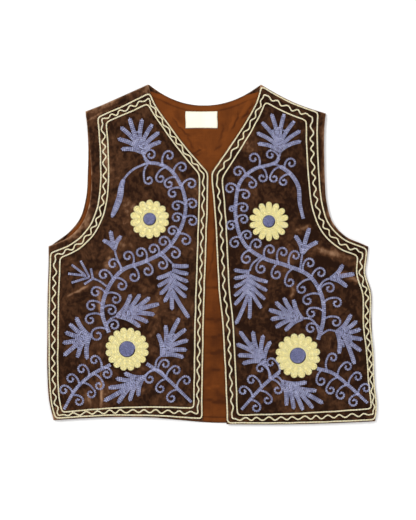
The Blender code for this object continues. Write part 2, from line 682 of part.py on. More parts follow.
def leaf_fingers(leaf):
    """The root and the tip of each finger, clockwise across the fan."""
    base = Vector((leaf.x, leaf.y))
    main = leaf.heading + leaf.fan * (0.5 - leaf.longest) + leaf.lean
    fingers = []
    for k in range(leaf.fingers):
        share = k / (leaf.fingers - 1)
        room = leaf.longest if share < leaf.longest else 1 - leaf.longest
        away = abs(share - leaf.longest) / max(room, 0.001)
        length = leaf.side_reach + (leaf.reach - leaf.side_reach) * (1 - away) ** leaf.taper
        angle = leaf.heading + leaf.fan * (0.5 - share)
        root = base + heading_vector(main) * leaf.spine * (1 - away)
        fingers.append((root, base + heading_vector(angle) * length))
    return fingers


def hanging_fingers(leaf, inward):
    """The root and the tip of each finger of a hanging leaf, clockwise."""
    base = Vector((leaf.x, leaf.y))
    inner, outer = [], []
    for fingers, count, first, side, shrink in (
            (inner, 5, leaf.inner_first, leaf.inward * inward, leaf.inward_shrink),
            (outer, 4, leaf.outer_first, -leaf.outward * inward, leaf.outward_shrink)):
        for k in range(count):
            down = first + leaf.step * k
            root = base - Vector((0.0, max(0.0, down) * HANGING_ROOT))
            fingers.append((root, base + Vector((side * (1 - shrink * k * k), -down))))
    foot = base - Vector((0.0, leaf.end * HANGING_ROOT))
    ends = [(foot, base + Vector((inward * leaf.tail_side, -leaf.tail_down))),
            (foot, base - Vector((0.0, leaf.end)))]
    fingers = inner + ends + outer[::-1]
    return fingers if inward > 0 else fingers[::-1]


def finger_side(finger, side, width):
    """The left or right side of a finger, from its root to where its tip rounds."""
    root, tip = finger
    along = (tip - root).normalized()
    across = Vector((-along.y, along.x)) * width / 2 * side
    return root + across, tip - along * width / 2 + across


def valley_between(first, second, width):
    """The notch where two fingers part: their near sides cross, or leave the spine there."""
    right_side, left_side = finger_side(first, -1, width), finger_side(second, 1, width)
    notch = intersect_line_line_2d(*right_side, *left_side)
    if notch:
        return notch
    outward = (first[1] - first[0]).normalized() + (second[1] - second[0]).normalized()
    return (right_side[0] + left_side[0]) / 2 + outward.normalized() * width / 2


def leaf_outline(base, fingers, stalk, width):
    """One outline round all the fingers and the base of a leaf."""
    outline = []
    for k, finger in enumerate(fingers):
        left, right = finger_side(finger, 1, width)[1], finger_side(finger, -1, width)[1]
        blunt = (left - right) * 0.2
        outline += [left, finger[1] + blunt, finger[1] - blunt, right]
        if k + 1 < len(fingers):
            outline.append(valley_between(fingers[k], fingers[k + 1], width))
    across = Vector((-stalk.y, stalk.x)).normalized() * width * 0.3
    return outline + [base - stalk - across, base - stalk + across]


def add_leaf(side, surface, leaf):
    name = side + "_" + leaf.name + "_leaf"
    main = leaf.heading + leaf.fan * (0.5 - leaf.longest) + leaf.lean
    outline = leaf_outline(Vector((leaf.x, leaf.y)), leaf_fingers(leaf),
                           heading_vector(main) * STALK_LENGTH, leaf.width)
    return add_plate(name, surface, outline, None, LEAF_HEIGHT, LAVENDER)


def add_hanging_leaf(side, surface, leaf, inward):
    outline = leaf_outline(Vector((leaf.x, leaf.y)), hanging_fingers(leaf, inward),
                           Vector((0.0, -STALK_LENGTH)), leaf.width)
    return add_plate(side + "_" + leaf.name + "_leaf", surface, outline, None, LEAF_HEIGHT, LAVENDER)


def add_stem(side, surface, stem):
    """A stem, whose width changes evenly on either side of its full stretch."""
    points = smooth_curve(stem.points, STEM_STEP)
    last = len(points) - 1
    widths = []
    for i in range(len(points)):
        share = 1.5 * i / last
        if share < 1:
            widths.append(stem.base_width + (stem.full_width - stem.base_width) * share)
        else:
            widths.append(stem.full_width + (stem.end_width - stem.full_width) * 2 * (share - 1))
    return add_ridge(side + "_" + stem.name, surface, points, widths, STEM_HEIGHT, False, LAVENDER)


def add_front(side, sections, rise, folds, insets, flowers, leaves, hanging, stems, turn):
    """A front with everything that is sewn on it."""
    plan = front_plan(sections, rise)
    seam_row = corner_rows(sections, "outer")[0] * ROWS_PER_SECTION
    floor = front_floor(plan, folds, seam_row)
    panel = add_wall(side + "_front", plan, floor, FRONT_THICKNESS, VELVET)
    surface = surface_of(panel)
    pieces = [panel] + add_cream_lines(side, surface, front_edges(plan, sections), insets, turn)
    for flower in flowers:
        pieces += add_flower(side, surface, flower)
    pieces += [add_leaf(side, surface, leaf) for leaf in leaves]
    pieces.append(add_hanging_leaf(side, surface, hanging, 1 if side == "right" else -1))
    pieces += [add_stem(side, surface, stem) for stem in stems]
    return pieces


def stand_on_origin(pieces):
    """Hang every piece on an empty, so that the middle of the underside is the origin."""
    corners = [v.co for piece in pieces for v in piece.data.vertices]
    middle = [(min(c[k] for c in corners) + max(c[k] for c in corners)) / 2 for k in range(2)]
    stand = bpy.data.objects.new("waistcoat", None)
    bpy.context.collection.objects.link(stand)
    stand.location = (-middle[0], -middle[1], 0.0)
    for piece in pieces:
        piece.parent = stand


def main():
    clear_scene()
    pieces = [add_back(), add_lining(), add_label()]
    pieces += add_front("right", RIGHT_FRONT, RIGHT_RISE, RIGHT_FOLDS, RIGHT_INSETS,
                        RIGHT_FLOWERS, RIGHT_LEAVES, RIGHT_HANGING, RIGHT_STEMS, -1)
    pieces += add_front("left", LEFT_FRONT, LEFT_RISE, LEFT_FOLDS, LEFT_INSETS,
                        LEFT_FLOWERS, LEFT_LEAVES, LEFT_HANGING, LEFT_STEMS, 1)
    stand_on_origin(pieces)


main()
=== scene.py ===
from math import atan2, ceil, cos, exp, pi, radians, sin
from random import Random

import bpy
import numpy as np
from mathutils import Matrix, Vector, noise
from mathutils.bvhtree import BVHTree


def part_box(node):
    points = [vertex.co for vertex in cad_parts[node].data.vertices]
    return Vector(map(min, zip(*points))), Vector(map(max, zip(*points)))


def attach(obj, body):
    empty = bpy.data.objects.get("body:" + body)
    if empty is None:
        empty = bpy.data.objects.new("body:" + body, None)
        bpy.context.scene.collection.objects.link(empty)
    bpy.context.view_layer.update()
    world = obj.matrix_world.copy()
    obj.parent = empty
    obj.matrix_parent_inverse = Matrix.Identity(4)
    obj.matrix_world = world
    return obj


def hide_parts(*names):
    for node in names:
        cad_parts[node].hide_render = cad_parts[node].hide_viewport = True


# An embroidered velvet waistcoat that lies flat. X runs to the wearer's left, Y from
# the hem to the neck and Z up from the floor. Single sizes are in metres.

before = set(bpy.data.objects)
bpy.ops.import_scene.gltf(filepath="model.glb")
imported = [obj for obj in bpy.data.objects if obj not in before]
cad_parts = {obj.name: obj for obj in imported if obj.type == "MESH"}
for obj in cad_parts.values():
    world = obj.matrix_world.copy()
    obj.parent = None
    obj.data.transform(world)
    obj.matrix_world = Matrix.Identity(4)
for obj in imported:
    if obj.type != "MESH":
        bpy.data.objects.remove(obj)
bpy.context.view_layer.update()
print("frame loaded,", len(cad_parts), "solids")

# The panels are drawn in the pattern's own coordinates, and the label shows where
# the pattern lies in the frame.
labelShape = {
    "centre": (-0.0157, 0.2068),
    "width": 0.049,
    "height": 0.026,
    "thickness": 0.0008,
    "lift": 0.0032,
    "cornerCurl": 0.0005,
    "stitchPitch": 0.0021,
    "stitchInset": 0.0014,
    "stitchSize": (0.0006, 0.0008, 0.00035),
    "columns": 50,
    "rows": 28,
    "sideBow": 0.0004,
    "endBow": 0.0003,
    "wave": 0.00012,
    "hemPlace": 0.0016,
    "hemWidth": 0.0007,
    "hemDepth": 0.00012,
    "cornerPower": 6,
}
low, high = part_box("neck_label")
patternShift = ((low.x + high.x) / 2 - labelShape["centre"][0],
                (low.y + high.y) / 2 - labelShape["centre"][1])

cloth = {
    "backThickness": 0.0016,
    "liningThickness": 0.0010,
    "frontThickness": 0.0020,
    "seamLevel": 0.0019,
    "liningLevel": 0.0019,
    "frontLevel": 0.0034,
    "frontLowest": 0.0032,
    "swell": 0.0012,
    "swellWidth": 0.050,
    "seamSlope": 0.009,
    "gridStep": 0.0025,
    "frontWidth": 0.230,
    "rimRows": (0.0004, 0.0010, 0.0018),
    "rimColumns": (0.0, 0.0004, 0.0010, 0.0018, 0.0030, 0.0048),
    "firstColumn": 0.0068,
    "unevenness": 0.00022,
    "broadSize": 0.017,
    "fineSize": 0.006,
    "fineShare": 0.5,
    "creaseBend": 0.12,
    "creaseWaver": 0.0008,
    "puff": 0.00040,
    "puffReach": 0.0045,
    "puffRim": 0.004,
    "creaseRim": 0.006,
    "leastThickness": 0.0006,
    # painted light on the pile: a painted sheen at an edge and highlight on a ridge, painted shade
    # in a trough and along the stitches
    "paintedEdgeSheenWidth": 0.0016,
    "paintedEdgeSheen": 0.46,
    "paintedCreaseShading": 420,
    "paintedCreaseShadingLimits": (-0.30, 0.35),
    "sewnShade": 0.10,
    "sewnShadeWidth": 0.0022,
    "patchSize": 0.0065,
    "patchLight": (0.85, 0.9),
}

# Places and sizes in tables are in millimetres, and headings in degrees.
rightFront = {
    "name": "right",
    "flat": (0.248, 0.516),
    "area": 0.1,
    # which way the cloth lies from a walk up its side and over its shoulder
    "turn": -1,
    "lift": 0.02,
    "swellingPod": "pod_stem",
    "hemRise": 0.0055,
    "shoulderRise": -0.0015,
    # level, outer x, outer y, inner x, inner y, which edge turns a corner there
    "sections": (
        ("hem", -242.5, -253.5, -13.5, -254.5, ""),
        ("above the hem", -249, -225, -14, -222, ""),
        ("hip", -252, -180, -13, -176, ""),
        ("waist", -252, -120, -12, -112, ""),
        ("ribs", -251.5, -60, -10, -46, ""),
        ("low chest", -250, -10, -8, 8, ""),
        ("underarm", -250, 13, -7.2, 34, "outer"),
        ("armhole start", -240, 16.8, -6.6, 46, ""),
        ("armhole curve", -219, 27, -6, 64, ""),
        ("armhole turn", -199, 47.5, -5.4, 86, ""),
        ("chest", -188, 76, -5, 107.5, ""),
        ("neck break", -184.5, 108, -5, 127, "inner"),
        ("high chest", -185.5, 143, -37, 163.5, ""),
        ("collarbone", -188.5, 180, -64, 199, ""),
        ("below the shoulder", -192.5, 211, -91.5, 242, ""),
        ("shoulder", -193.5, 219.5, -97.5, 261, ""),
    ),
    # edge, outer line's inset at its start and end, inner line's at its start and end
    "insets": (
        ("side", 3.5, 2.8, 16, 17.8), ("armhole", 10.5, 18, 22.5, 30),
        ("shoulder", 15.7, 13.3, 26.9, 26.7), ("neck", 1.6, 2.4, 9.8, 13),
        ("front", 1.6, 1.4, 13.8, 13.4), ("hem", 3.8, 3, 19.4, 10.8),
    ),
    # broad folds: x, y, heading, length, width, height
    "folds": (
        (-168, -215, 92, 45, 30, 1.4), (-205, -58, 28, 45, 28, 1.2), (-150, 165, 100, 60, 35, 1),
    ),
    # sharp creases: x, y, heading, length, width, height, below 0 for a trough
    "creases": (
        (-168, -205, 91, 30, 1.8, 0.8), (-165.5, -170, 97, 15, 2, 0.4),
        (-204, -56, 26, 19, 1.8, 0.8), (-171, -75, 93, 26, 2.6, 0.5),
        (-145, 18, -25, 13, 2.2, 0.55), (-159, -10, 62, 10, 2, 0.5),
        (-162, 150, 96, 24, 3.4, 0.5), (-157, 190, 70, 12, 2.2, -0.5),
        (-128, 218, 100, 10, 2, -0.55), (-225, -30, 8, 18, 3, -0.5),
        (-229, -232, 20, 14, 2.6, 0.45), (-30, -150, 88, 40, 4, -0.4),
    ),
    # lighter nap, with painted sheen where it lies on a crease or edge: x, y, heading, length,
    # width, strength
    "nap": (
        (-160, 236, 24, 50, 9.5, 0.22), (-188, 90, 88, 56, 3, 0.42),
        (-208, 150, 88, 48, 1.8, 0.34), (-203, 156, 89, 44, 1.8, -0.22),
        (-197.5, 150, 87, 40, 1.6, 0.26), (-176, 213, 30, 18, 1.6, 0.34),
        (-150, 228, 26, 26, 1.4, -0.2), (-118, 237, 100, 10, 4, -0.22),
        (-202, 40, 50, 22, 3.5, 0.4), (-224, 23, 24, 20, 4, 0.2), (-161, 148, 100, 30, 5.5, 0.3),
        (-156, 172, 60, 10, 6, 0.16), (-120, 78, 20, 30, 16, 0.1), (-150, 5, 60, 26, 9, 0.2),
        (-159, -12, 70, 8, 4, 0.5), (-128, 13, -20, 15, 5, 0.22),
        (-171.5, -75, 92, 26, 3.5, 0.4), (-168, -140, 85, 20, 7, 0.2),
        (-169, -207, 91, 34, 1, 0.66), (-164, -210, 88, 26, 4, 0.05),
        (-189, -219, 118, 12, 3, 0.4), (-227, 33, 45, 11, 1.6, 0.55),
        (-213, 56, 62, 9, 1.4, 0.5), (-206, 85, 75, 12, 1.4, 0.5),
        (-205, 135, 84, 15, 1.4, 0.45), (-206, -56, 27, 20, 1.8, 0.34),
        (-240, -248, 30, 12, 8, 0.36), (-13, -60, 90, 140, 3.5, 0.2),
        (-100, 256, 60, 12, 6, 0.34), (-70, -90, 80, 40, 14, 0.1),
    ),
    # name, x, y, radius, centre radius, petals, how far each fills its share
    "flowers": (
        ("upper", -95, 54.4, 30, 10.5, 14, 1),
        ("lower", -129.4, -144.4, 33.5, 13, 16, 1),
    ),
    # name, x, y, heading, fan, fingers, reach, side reach, longest, taper, spine, its
    # lean from the longest finger, finger width
    "leaves": (
        ("top", -105.9, 156.4, 100.7, 139.5, 8, 58.5, 34, 0.4, 0.85, 14, 0, 6.8),
        ("chest", -148.5, 8.5, 103, 76, 3, 30, 24, 0.5, 1, 4, 0, 6.8),
        ("twig", -181.7, -36.3, 158, 112, 6, 43, 18, 0.5, 0.4, 14, 0, 4.2),
        ("middle", -144.5, -93.6, 16, 82, 7, 67.5, 40, 0.5, 1, 22, 0, 7),
        ("outer", -186.3, -124.3, 194.5, 135, 7, 51, 37, 0.333, 2.5, 12, -20, 7),
        ("inner", -76.1, -153.4, 47.5, 106, 7, 63.6, 34.5, 0.333, 1.2, 18, 0, 6.8),
        ("bottom", -104.7, -187.5, 211, 86, 7, 71, 31, 0.5, 1.1, 22, 0, 7),
    ),
    # x, y, reach of its fingers inward and outward, how fast they shorten, how far down
    # each side starts, step, end, tail down and sideways, where its fingers leave the
    # spine as a share of their fall, finger width
    "hangingLeaf": (-60.7, -14.5, 26.5, 24.5, 0.01, 0.055, 3, 22.5, 12.2, 71, 83, 26.2, 0.56, 6.6),
    # name, width at the base, at two thirds and at the end, points
    "stems": (
        ("main_stem", 4.5, 6, 6, (
            (-102.5, 148), (-97.5, 141.5), (-86, 140), (-69, 134), (-48, 108), (-39.8, 76),
            (-48.5, 38), (-72, 6), (-104, -11), (-136, -23), (-158, -50), (-167.5, -89),
            (-157.2, -119))),
        ("pod_stem", 3, 6.6, 3, (
            (-103, 138.5), (-120, 130.5), (-134.5, 115), (-141.5, 85), (-153, 57))),
        ("outer_branch", 5.5, 4.5, 3, (
            (-154.5, -168), (-183, -183), (-206, -203), (-226.2, -236.5))),
        ("inner_branch", 5.5, 4.5, 3, (
            (-100, -166.5), (-78, -181), (-54, -203), (-31, -225.5))),
    ),
    # scrolls that curl from a stem: its name, their radius and their centres
    "scrolls": (
        ("main_stem", 11.2, ((-175.1, -122.5),)),
        ("main_stem", 8.8, (
            (-93.5, 153), (-65.4, 151.5), (-45.8, 133.5), (-31.5, 108.5), (-30, 77.8),
            (-30, 51.5), (-40, 22.2), (-56, 1.8), (-75.5, -14.8), (-97.8, -24.5), (-119, -33.5),
            (-137.8, -47), (-146.7, -67.5), (-153.5, -85), (-149.5, -107.5), (-73.5, 20.2),
            (-89.1, 8.5), (-108.5, 2.7), (-128.1, -2.3), (-150.7, -14), (-165, -30.5),
            (-177, -57), (-183.7, -78.2), (-185.7, -99))),
        ("main_stem", 8, (
            (-96.3, 114.5), (-78.4, 117.1), (-65.5, 108.6), (-59.6, 94), (-53.6, 74.5),
            (-53.6, 56.5), (-60, 36.5))),
        ("outer_branch", 8.2, (
            (-179, -161.3), (-198.4, -175), (-215, -189.6), (-225.7, -207), (-160.3, -181.9),
            (-172.1, -199.5), (-184.8, -212.1), (-203.3, -223.8))),
        ("inner_branch", 8.2, (
            (-71.5, -167.2), (-55, -177), (-39.4, -192.6), (-94.9, -189.7), (-78.4, -204.3),
            (-61.7, -218.9))),
    ),
    # single rows that join the leaves and pods to their stems
    "stalks": (
        ((-105.9, 156.4), (-104.8, 152.5), (-102, 147.5)),
        ((-103.5, 138.5), (-97.5, 140.5), (-93, 140.5)),
        ((-148.5, 7.5), (-145.5, -4), (-137.5, -21)),
        ((-181.7, -36.3), (-172, -40), (-161, -48)), ((-60.7, -13), (-68, -5.5), (-76.5, 4.5)),
        ((-144.5, -93.6), (-154, -97.5), (-162.5, -108)),
        ((-76.1, -153.4), (-84, -161), (-86.5, -175)),
        ((-104.7, -186.7), (-93, -178), (-79, -177), (-70, -187)),
    ),
}

leftFront = {
    "name": "left",
    "flat": (0.255, 0.521),
    "area": 0.098,
    "turn": 1,
    "lift": -0.07,
    "swellingPod": "",
    "hemRise": -0.002,
    "shoulderRise": -0.005,
    "sections": (
        ("hem", 250.5, -255, 22.5, -259.5, ""),
        ("above the hem", 253, -235, 22.2, -238, ""),
        ("hip", 250, -198, 20.3, -190, ""),
        ("waist", 248, -150, 17.8, -140, ""),
        ("high waist", 244, -105, 15, -95, ""),
        ("ribs", 244, -56, 10.3, -56, ""),
        ("side crease", 235.5, -26, 8.5, -20, ""),
        ("low chest", 238, -5, 7, 10, ""),
        ("underarm", 240, 12.5, 5.8, 36, "outer"),
        ("armhole start", 230, 16.8, 5, 50, ""),
        ("armhole curve", 206, 27.5, 3.5, 68, ""),
        ("armhole turn", 185, 50, 2, 88, ""),
        ("chest", 175.5, 83, -0.2, 108, ""),
        ("neck break", 173.2, 115, -1.5, 126.2, "inner"),
        ("high chest", 172.2, 150, 26, 165.5, ""),
        ("collarbone", 172.2, 183, 50, 202, ""),
        ("below the shoulder", 173.7, 208, 70.5, 242, ""),
        ("shoulder", 175, 216.5, 75, 261, ""),
    ),
    "insets": (
        ("side", 1.2, 2.2, 8.4, 15), ("armhole", 4.5, 12, 19, 29),
        ("shoulder", 2.2, 2.2, 19, 20), ("neck", 1.6, 2.4, 12.8, 19),
        ("front", 1.4, 1.4, 16.6, 16.6), ("hem", 2.4, 2.8, 13.7, 20),
    ),
    "folds": (
        (205, -12, -22, 50, 26, 1.7), (205, -75, -12, 45, 30, 1.2), (85, 10, 78, 80, 40, 1),
        (180, -215, 95, 50, 35, 1.2),
    ),
    "creases": (
        (180, 3, -14, 30, 4, 0.7), (190, -16, -20, 28, 3, -0.8), (206, -34, -24, 24, 3.4, 0.7),
        (215, -50, -10, 20, 3, -0.6), (218, 2, 12, 16, 3, -0.6), (138, 40, 20, 12, 2.2, 0.6),
        (143, 33, -35, 10, 2, -0.5), (130, 6, 74, 14, 2.2, 0.55), (123.5, -58, 84, 11, 1.8, 0.6),
        (86, -147, 3, 10, 1.8, 0.5), (75, 90, 90, 26, 4, -0.4), (116, 225, -30, 18, 2.2, -0.5),
        (165, 150, 90, 50, 2, -0.6),
    ),
    # lighter nap, with painted sheen where it lies on a crease or edge
    "nap": (
        (125, 242, -26, 48, 7.5, 0.46), (76, 257, -50, 10, 7, 0.4), (170, 145, 90, 65, 3, 0.34),
        (180, 56, 120, 25, 4, 0.26), (18, 148, 57, 50, 4.5, 0.22), (56, 165, 50, 16, 14, 0.2),
        (84, 90, 10, 26, 15, 0.15), (138, 39, 10, 14, 7, 0.34), (118, -2, 70, 23, 8, 0.26),
        (188, 1, -16, 40, 8, 0.3), (208, -32, -22, 20, 3.5, 0.34),
        (123.5, -56, 84, 13, 4.5, 0.36), (236, -15, 90, 30, 4, 0.3),
        (86, -147, 3, 12, 1.4, 0.34), (28, -240, 90, 20, 4, 0.2), (244, -248, 0, 8, 8, 0.2),
        (204.5, 155, 93, 48, 3, 0.5), (199, 145, 93, 40, 1.4, -0.18),
        (220, 60, 125, 28, 2.8, 0.4), (150, 236, -24, 42, 1.6, 0.42),
        (150, -236, 2, 50, 6, 0.12),
    ),
    "flowers": (
        ("upper", 87.4, 50.9, 30.3, 10.2, 14, 0.8),
        ("lower", 131.7, -154.5, 34.5, 13, 16, 1),
    ),
    "leaves": (
        ("top", 104.1, 158.5, 93, 135, 8, 62.5, 37, 0.48, 0.85, 16, 0, 6.4),
        ("chest", 138.6, 2.5, 74.5, 75, 3, 41, 30.5, 0.5, 1, 5, 0, 7),
        ("twig", 182.3, -36, 10.5, 75, 3, 37.5, 29, 0.5, 1, 5, 0, 7),
        ("middle", 138, -97.5, 165, 100, 7, 53.5, 33, 0.5, 0.6, 18, 0, 7),
        ("outer", 191.5, -117.4, -17, 134, 7, 58, 35.2, 0.833, 2.4, 12, 30, 6.8),
        ("inner", 80, -164.1, 128.5, 110, 7, 61, 34.5, 0.5, 1.1, 18, 0, 6.8),
        ("bottom", 108, -194, -41, 78, 7, 71.5, 38.5, 0.333, 1, 22, 0, 6.8),
    ),
    "hangingLeaf": (57.8, -26, 25.2, 29, 0.004, 0.04, -3, 16, 13.7, 73.5, 81.2, 21.3, 0.4, 6.2),
    "stems": (
        ("main_stem", 4.5, 6, 6, (
            (102.5, 148), (99, 142), (90, 138), (67, 132), (44.5, 113), (36.8, 80), (38.5, 45),
            (52, 14), (79, -5), (113, -16), (150, -33), (169, -66), (170.5, -101), (162.5, -130))),
        ("pod_stem", 6, 6.2, 3.4, (
            (105, 135), (118, 126), (132.5, 104), (134.5, 79), (140, 55))),
        ("inner_branch", 5.5, 4.5, 3, (
            (104, -179), (83, -196), (62, -218), (45.5, -237))),
        ("outer_branch", 5.5, 4.5, 3, (
            (161, -174), (183, -180), (208, -199), (238.5, -227))),
    ),
    "scrolls": (
        ("main_stem", 8.8, (
            (64.3, 147.5), (40.6, 127), (28.4, 101.4), (35.6, 18.1), (68.8, 16.3), (89.1, 7.4),
            (108.7, 3.6), (127.5, -1.4), (149.7, -13.1), (53.2, -6), (75.5, -21), (98.9, -29.6),
            (119.4, -41.4), (137.9, -52.1), (146.8, -69.7), (152.6, -89.1), (151.7, -112.5),
            (166.3, -27.6), (180, -51), (190.7, -73.5), (189.6, -102.7))),
        ("main_stem", 7.8, (
            (90, 153), (31, 70), (29.2, 44.3), (77.5, 118), (61.6, 108.2), (51.2, 91.7),
            (48.6, 71.5), (48.6, 53.9), (54.1, 29.9))),
        ("pod_stem", 8.6, ((121.3, 140),)),
        ("pod_stem", 7.4, (
            (95.1, 117.1), (109.9, 111.9))),
        ("inner_branch", 8, (
            (90.5, -165), (74.6, -174), (61, -191.6), (48.3, -208.1), (100.9, -206.2),
            (85.3, -221.8), (67.7, -233.6))),
        ("outer_branch", 8.2, (
            (184.9, -157.5), (207.2, -171.1), (222.8, -186.7), (235.5, -204.3), (167.2, -192.6),
            (181.8, -206.2), (197.5, -214), (217, -224.8))),
    ),
    "stalks": (
        ((104.1, 158.5), (104.5, 154), (102.5, 148.5)), ((106, 134.5), (99, 137.8), (92, 138.5)),
        ((138.6, 2.5), (137, -8), (135, -23)),
        ((182.3, -36), (173.5, -38.5), (165.5, -47), (162, -54)),
        ((57.8, -24.5), (61.5, -15), (72.5, -5)),
        ((138, -97.5), (150, -97.5), (159, -106), (163.5, -119)),
        ((191.5, -117.4), (179, -115), (167.5, -122)), ((80, -164.1), (86, -174), (88.5, -189)),
        ((108, -194), (102, -187), (96.5, -185)),
    ),
}


# shapes in the plane
def inMetres(x, y):
    return Vector((x / 1000, y / 1000))


def curvePoint(points, corners, index, share):
    start, end = points[index], points[index + 1]
    chord = (end - start).length

    def slope(at):
        ahead = points[at + 1] - points[at] if at + 1 < len(points) else None
        behind = points[at] - points[at - 1] if at > 0 else None
        if at in corners or ahead is None or behind is None:
            return (end - start) / chord
        near, far = ahead.length, behind.length
        return (ahead / near * far + behind / far * near) / (near + far)

    a, b = slope(index) * chord, slope(index + 1) * chord
    s = share
    return (start * (2 * s ** 3 - 3 * s ** 2 + 1) + a * (s ** 3 - 2 * s ** 2 + s)
            + end * (3 * s ** 2 - 2 * s ** 3) + b * (s ** 3 - s ** 2))


def resample(points, step):
    lengths = [(b - a).length for a, b in zip(points, points[1:])]
    total = sum(lengths)
    count = max(2, ceil(total / step))
    result, index, passed = [], 0, 0.0
    for k in range(count):
        target = total * k / count
        while passed + lengths[index] < target:
            passed += lengths[index]
            index += 1
        result.append(points[index].lerp(points[index + 1], (target - passed) / lengths[index]))
    return result + [points[-1]]


def smoothCurve(points, step):
    points = [inMetres(*p) for p in points]
    fine = [curvePoint(points, (), i, k / 8) for i in range(len(points) - 1) for k in range(8)]
    return resample(fine + [points[-1]], step)


def sideNormal(points, index, closed=False):
    count = len(points)
    before = points[(index - 1) % count] if closed else points[max(0, index - 1)]
    after = points[(index + 1) % count] if closed else points[min(count - 1, index + 1)]
    along = (after - before).normalized()
    return Vector((-along.y, along.x))


def heading(degrees):
    return Vector((cos(radians(degrees)), sin(radians(degrees))))


def edgeDistance(points, loop):
    points, loop = np.asarray(points, float), np.asarray(loop, float)
    start, end = loop, np.roll(loop, -1, axis=0)
    along = end - start
    square = np.maximum((along ** 2).sum(1), 1e-12)
    result = np.empty(len(points))
    for first in range(0, len(points), 2000):
        block = points[first:first + 2000, None, :] - start[None]
        share = np.clip((block * along[None]).sum(2) / square, 0, 1)
        away = block - share[..., None] * along[None]
        result[first:first + 2000] = np.sqrt((away ** 2).sum(2).min(1))
    return result


# the fronts' plan
def sectionEdges(sections):
    return [inMetres(*s[1:3]) for s in sections], [inMetres(*s[3:5]) for s in sections]


def cornerAt(sections, side):
    return [i for i, s in enumerate(sections) if s[-1] == side]


def rowPlaces(first, second, steps, rimRows):
    places = []  # a section and a share of the way to the next, for every row
    last = len(first) - 2
    for i, step in enumerate(steps):
        length = max((first[i + 1] - first[i]).length, (second[i + 1] - second[i]).length)
        count = ceil(length / step)
        shares = [k / count for k in range(count)]
        near = [x / length for x in rimRows]
        shares += (near if i == 0 else []) + ([1 - x for x in near] if i == last else [])
        places += [(i, s) for s in sorted(shares)]
    return places + [(last, 1.0)]


def columnShares(width, step):
    edge = [x / width for x in cloth["rimColumns"]]
    first = cloth["firstColumn"] / width
    count = ceil((1 - 2 * first) * width / step)
    middle = [first + (1 - 2 * first) * k / count for k in range(count + 1)]
    return edge + middle + [1 - e for e in reversed(edge)]


def frontPlan(front, step, shares):
    sections = front["sections"]
    outer, inner = sectionEdges(sections)
    outerCorners, innerCorners = cornerAt(sections, "outer"), cornerAt(sections, "inner")
    last = len(sections) - 1
    places = rowPlaces(outer, inner, [step] * last, cloth["rimRows"])
    plan = []
    for index, share in places:
        start = curvePoint(outer, outerCorners, index, share)
        end = curvePoint(inner, innerCorners, index, share)
        level = index + share
        bend = (front["hemRise"] * max(0.0, 1 - level / 3)
                + front["shoulderRise"] * max(0.0, 1 - (last - level) / 3))
        row = [start.lerp(end, t) for t in shares]
        for point, t in zip(row, shares):
            point.y += bend * sin(pi * t)
        plan.append(row)
    return plan, places.index((outerCorners[0], 0.0)), places.index((innerCorners[0], 0.0))


def rimLoop(plan):
    loop = plan[0] + [row[-1] for row in plan[1:]]
    return loop + plan[-1][-2::-1] + [row[0] for row in plan[-2:0:-1]]


def flatPoints(plan):
    return np.array([tuple(p) for row in plan for p in row])


def marks(rows, points, power=4, crooked=False):
    # soft marks on the cloth, added up: x, y, heading, length, width and strength of each
    total = np.zeros(len(points))
    for x, y, angle, length, width, strength in rows:
        x, y, length, width = x / 1000, y / 1000, length / 1000, width / 1000
        away = points - (x, y)
        along = away[:, 0] * cos(radians(angle)) + away[:, 1] * sin(radians(angle))
        across = away[:, 1] * cos(radians(angle)) - away[:, 0] * sin(radians(angle))
        if crooked:
            bend = cloth["creaseBend"] * along ** 2 / length
            across = across - bend - cloth["creaseWaver"] * np.sin(along * 420 + x * 900)
        total += strength * np.exp(-(along / length) ** power - (across / width) ** 2)
    return total


def unevenness(points, size, seed):
    return np.array([noise.noise(Vector((x / size, y / size, seed))) for x, y in points])


def roundedEdge(distance, radius):
    inside = np.clip(radius - distance, 0, radius)
    return radius - np.sqrt(np.maximum(radius ** 2 - inside ** 2, 0))


def easeIn(distance, reach):
    return np.clip(distance / reach, 0, 1)


def ridge(distance, width, place=0.0):
    return np.exp(-((distance - place) / width) ** 2)


def smoothStep(values):
    values = np.clip(values, 0, 1)
    return values * values * (3 - 2 * values)


# making meshes
def addToScene(name, data):
    thing = bpy.data.objects.new(name, data)
    bpy.context.scene.collection.objects.link(thing)
    return thing


def addMesh(name, vertices, faces):
    mesh = bpy.data.meshes.new(name)
    vertices = np.asarray(vertices, float) + (patternShift[0], patternShift[1], 0.0)
    mesh.from_pydata(vertices.tolist(), [], faces)
    mesh.polygons.foreach_set("use_smooth", [True] * len(mesh.polygons))
    mesh.update()
    return addToScene(name, mesh)


def setNumbers(piece, name, values):
    layer = piece.data.attributes.new(name, "FLOAT", "POINT")
    layer.data.foreach_set("value", np.asarray(values, np.float32))


def clothShell(name, plan, top, bottom, number="", values=None, underShare=1):
    # an upper and a lower face that meet at the rim, with a number at each point
    rows, columns = len(plan), len(plan[0])
    flat = flatPoints(plan)
    grid = np.arange(rows * columns).reshape(rows, columns)
    rim = np.zeros((rows, columns), bool)
    rim[0, :] = rim[-1, :] = rim[:, 0] = rim[:, -1] = True
    rim = rim.ravel()
    inner = np.flatnonzero(~rim)
    under = np.arange(rows * columns)
    under[inner] = rows * columns + np.arange(len(inner))
    under = under.reshape(rows, columns)
    vertices = np.vstack([np.column_stack([flat, np.where(rim, (top + bottom) / 2, top)]),
                          np.column_stack([flat[inner], bottom[inner]])])
    first, second = plan[1][0] - plan[0][0], plan[0][-1] - plan[0][0]
    upside = second.x * first.y > second.y * first.x
    faces = []
    for r in range(rows - 1):
        for c in range(columns - 1):
            over = (grid[r, c], grid[r, c + 1], grid[r + 1, c + 1], grid[r + 1, c])
            below = (under[r, c], under[r + 1, c], under[r + 1, c + 1], under[r, c + 1])
            faces += [over, below] if upside else [over[::-1], below[::-1]]
    piece = addMesh(name, vertices, [tuple(int(v) for v in f) for f in faces])
    if number:
        setNumbers(piece, number, np.concatenate([values, values[inner] * underShare]))
    return piece


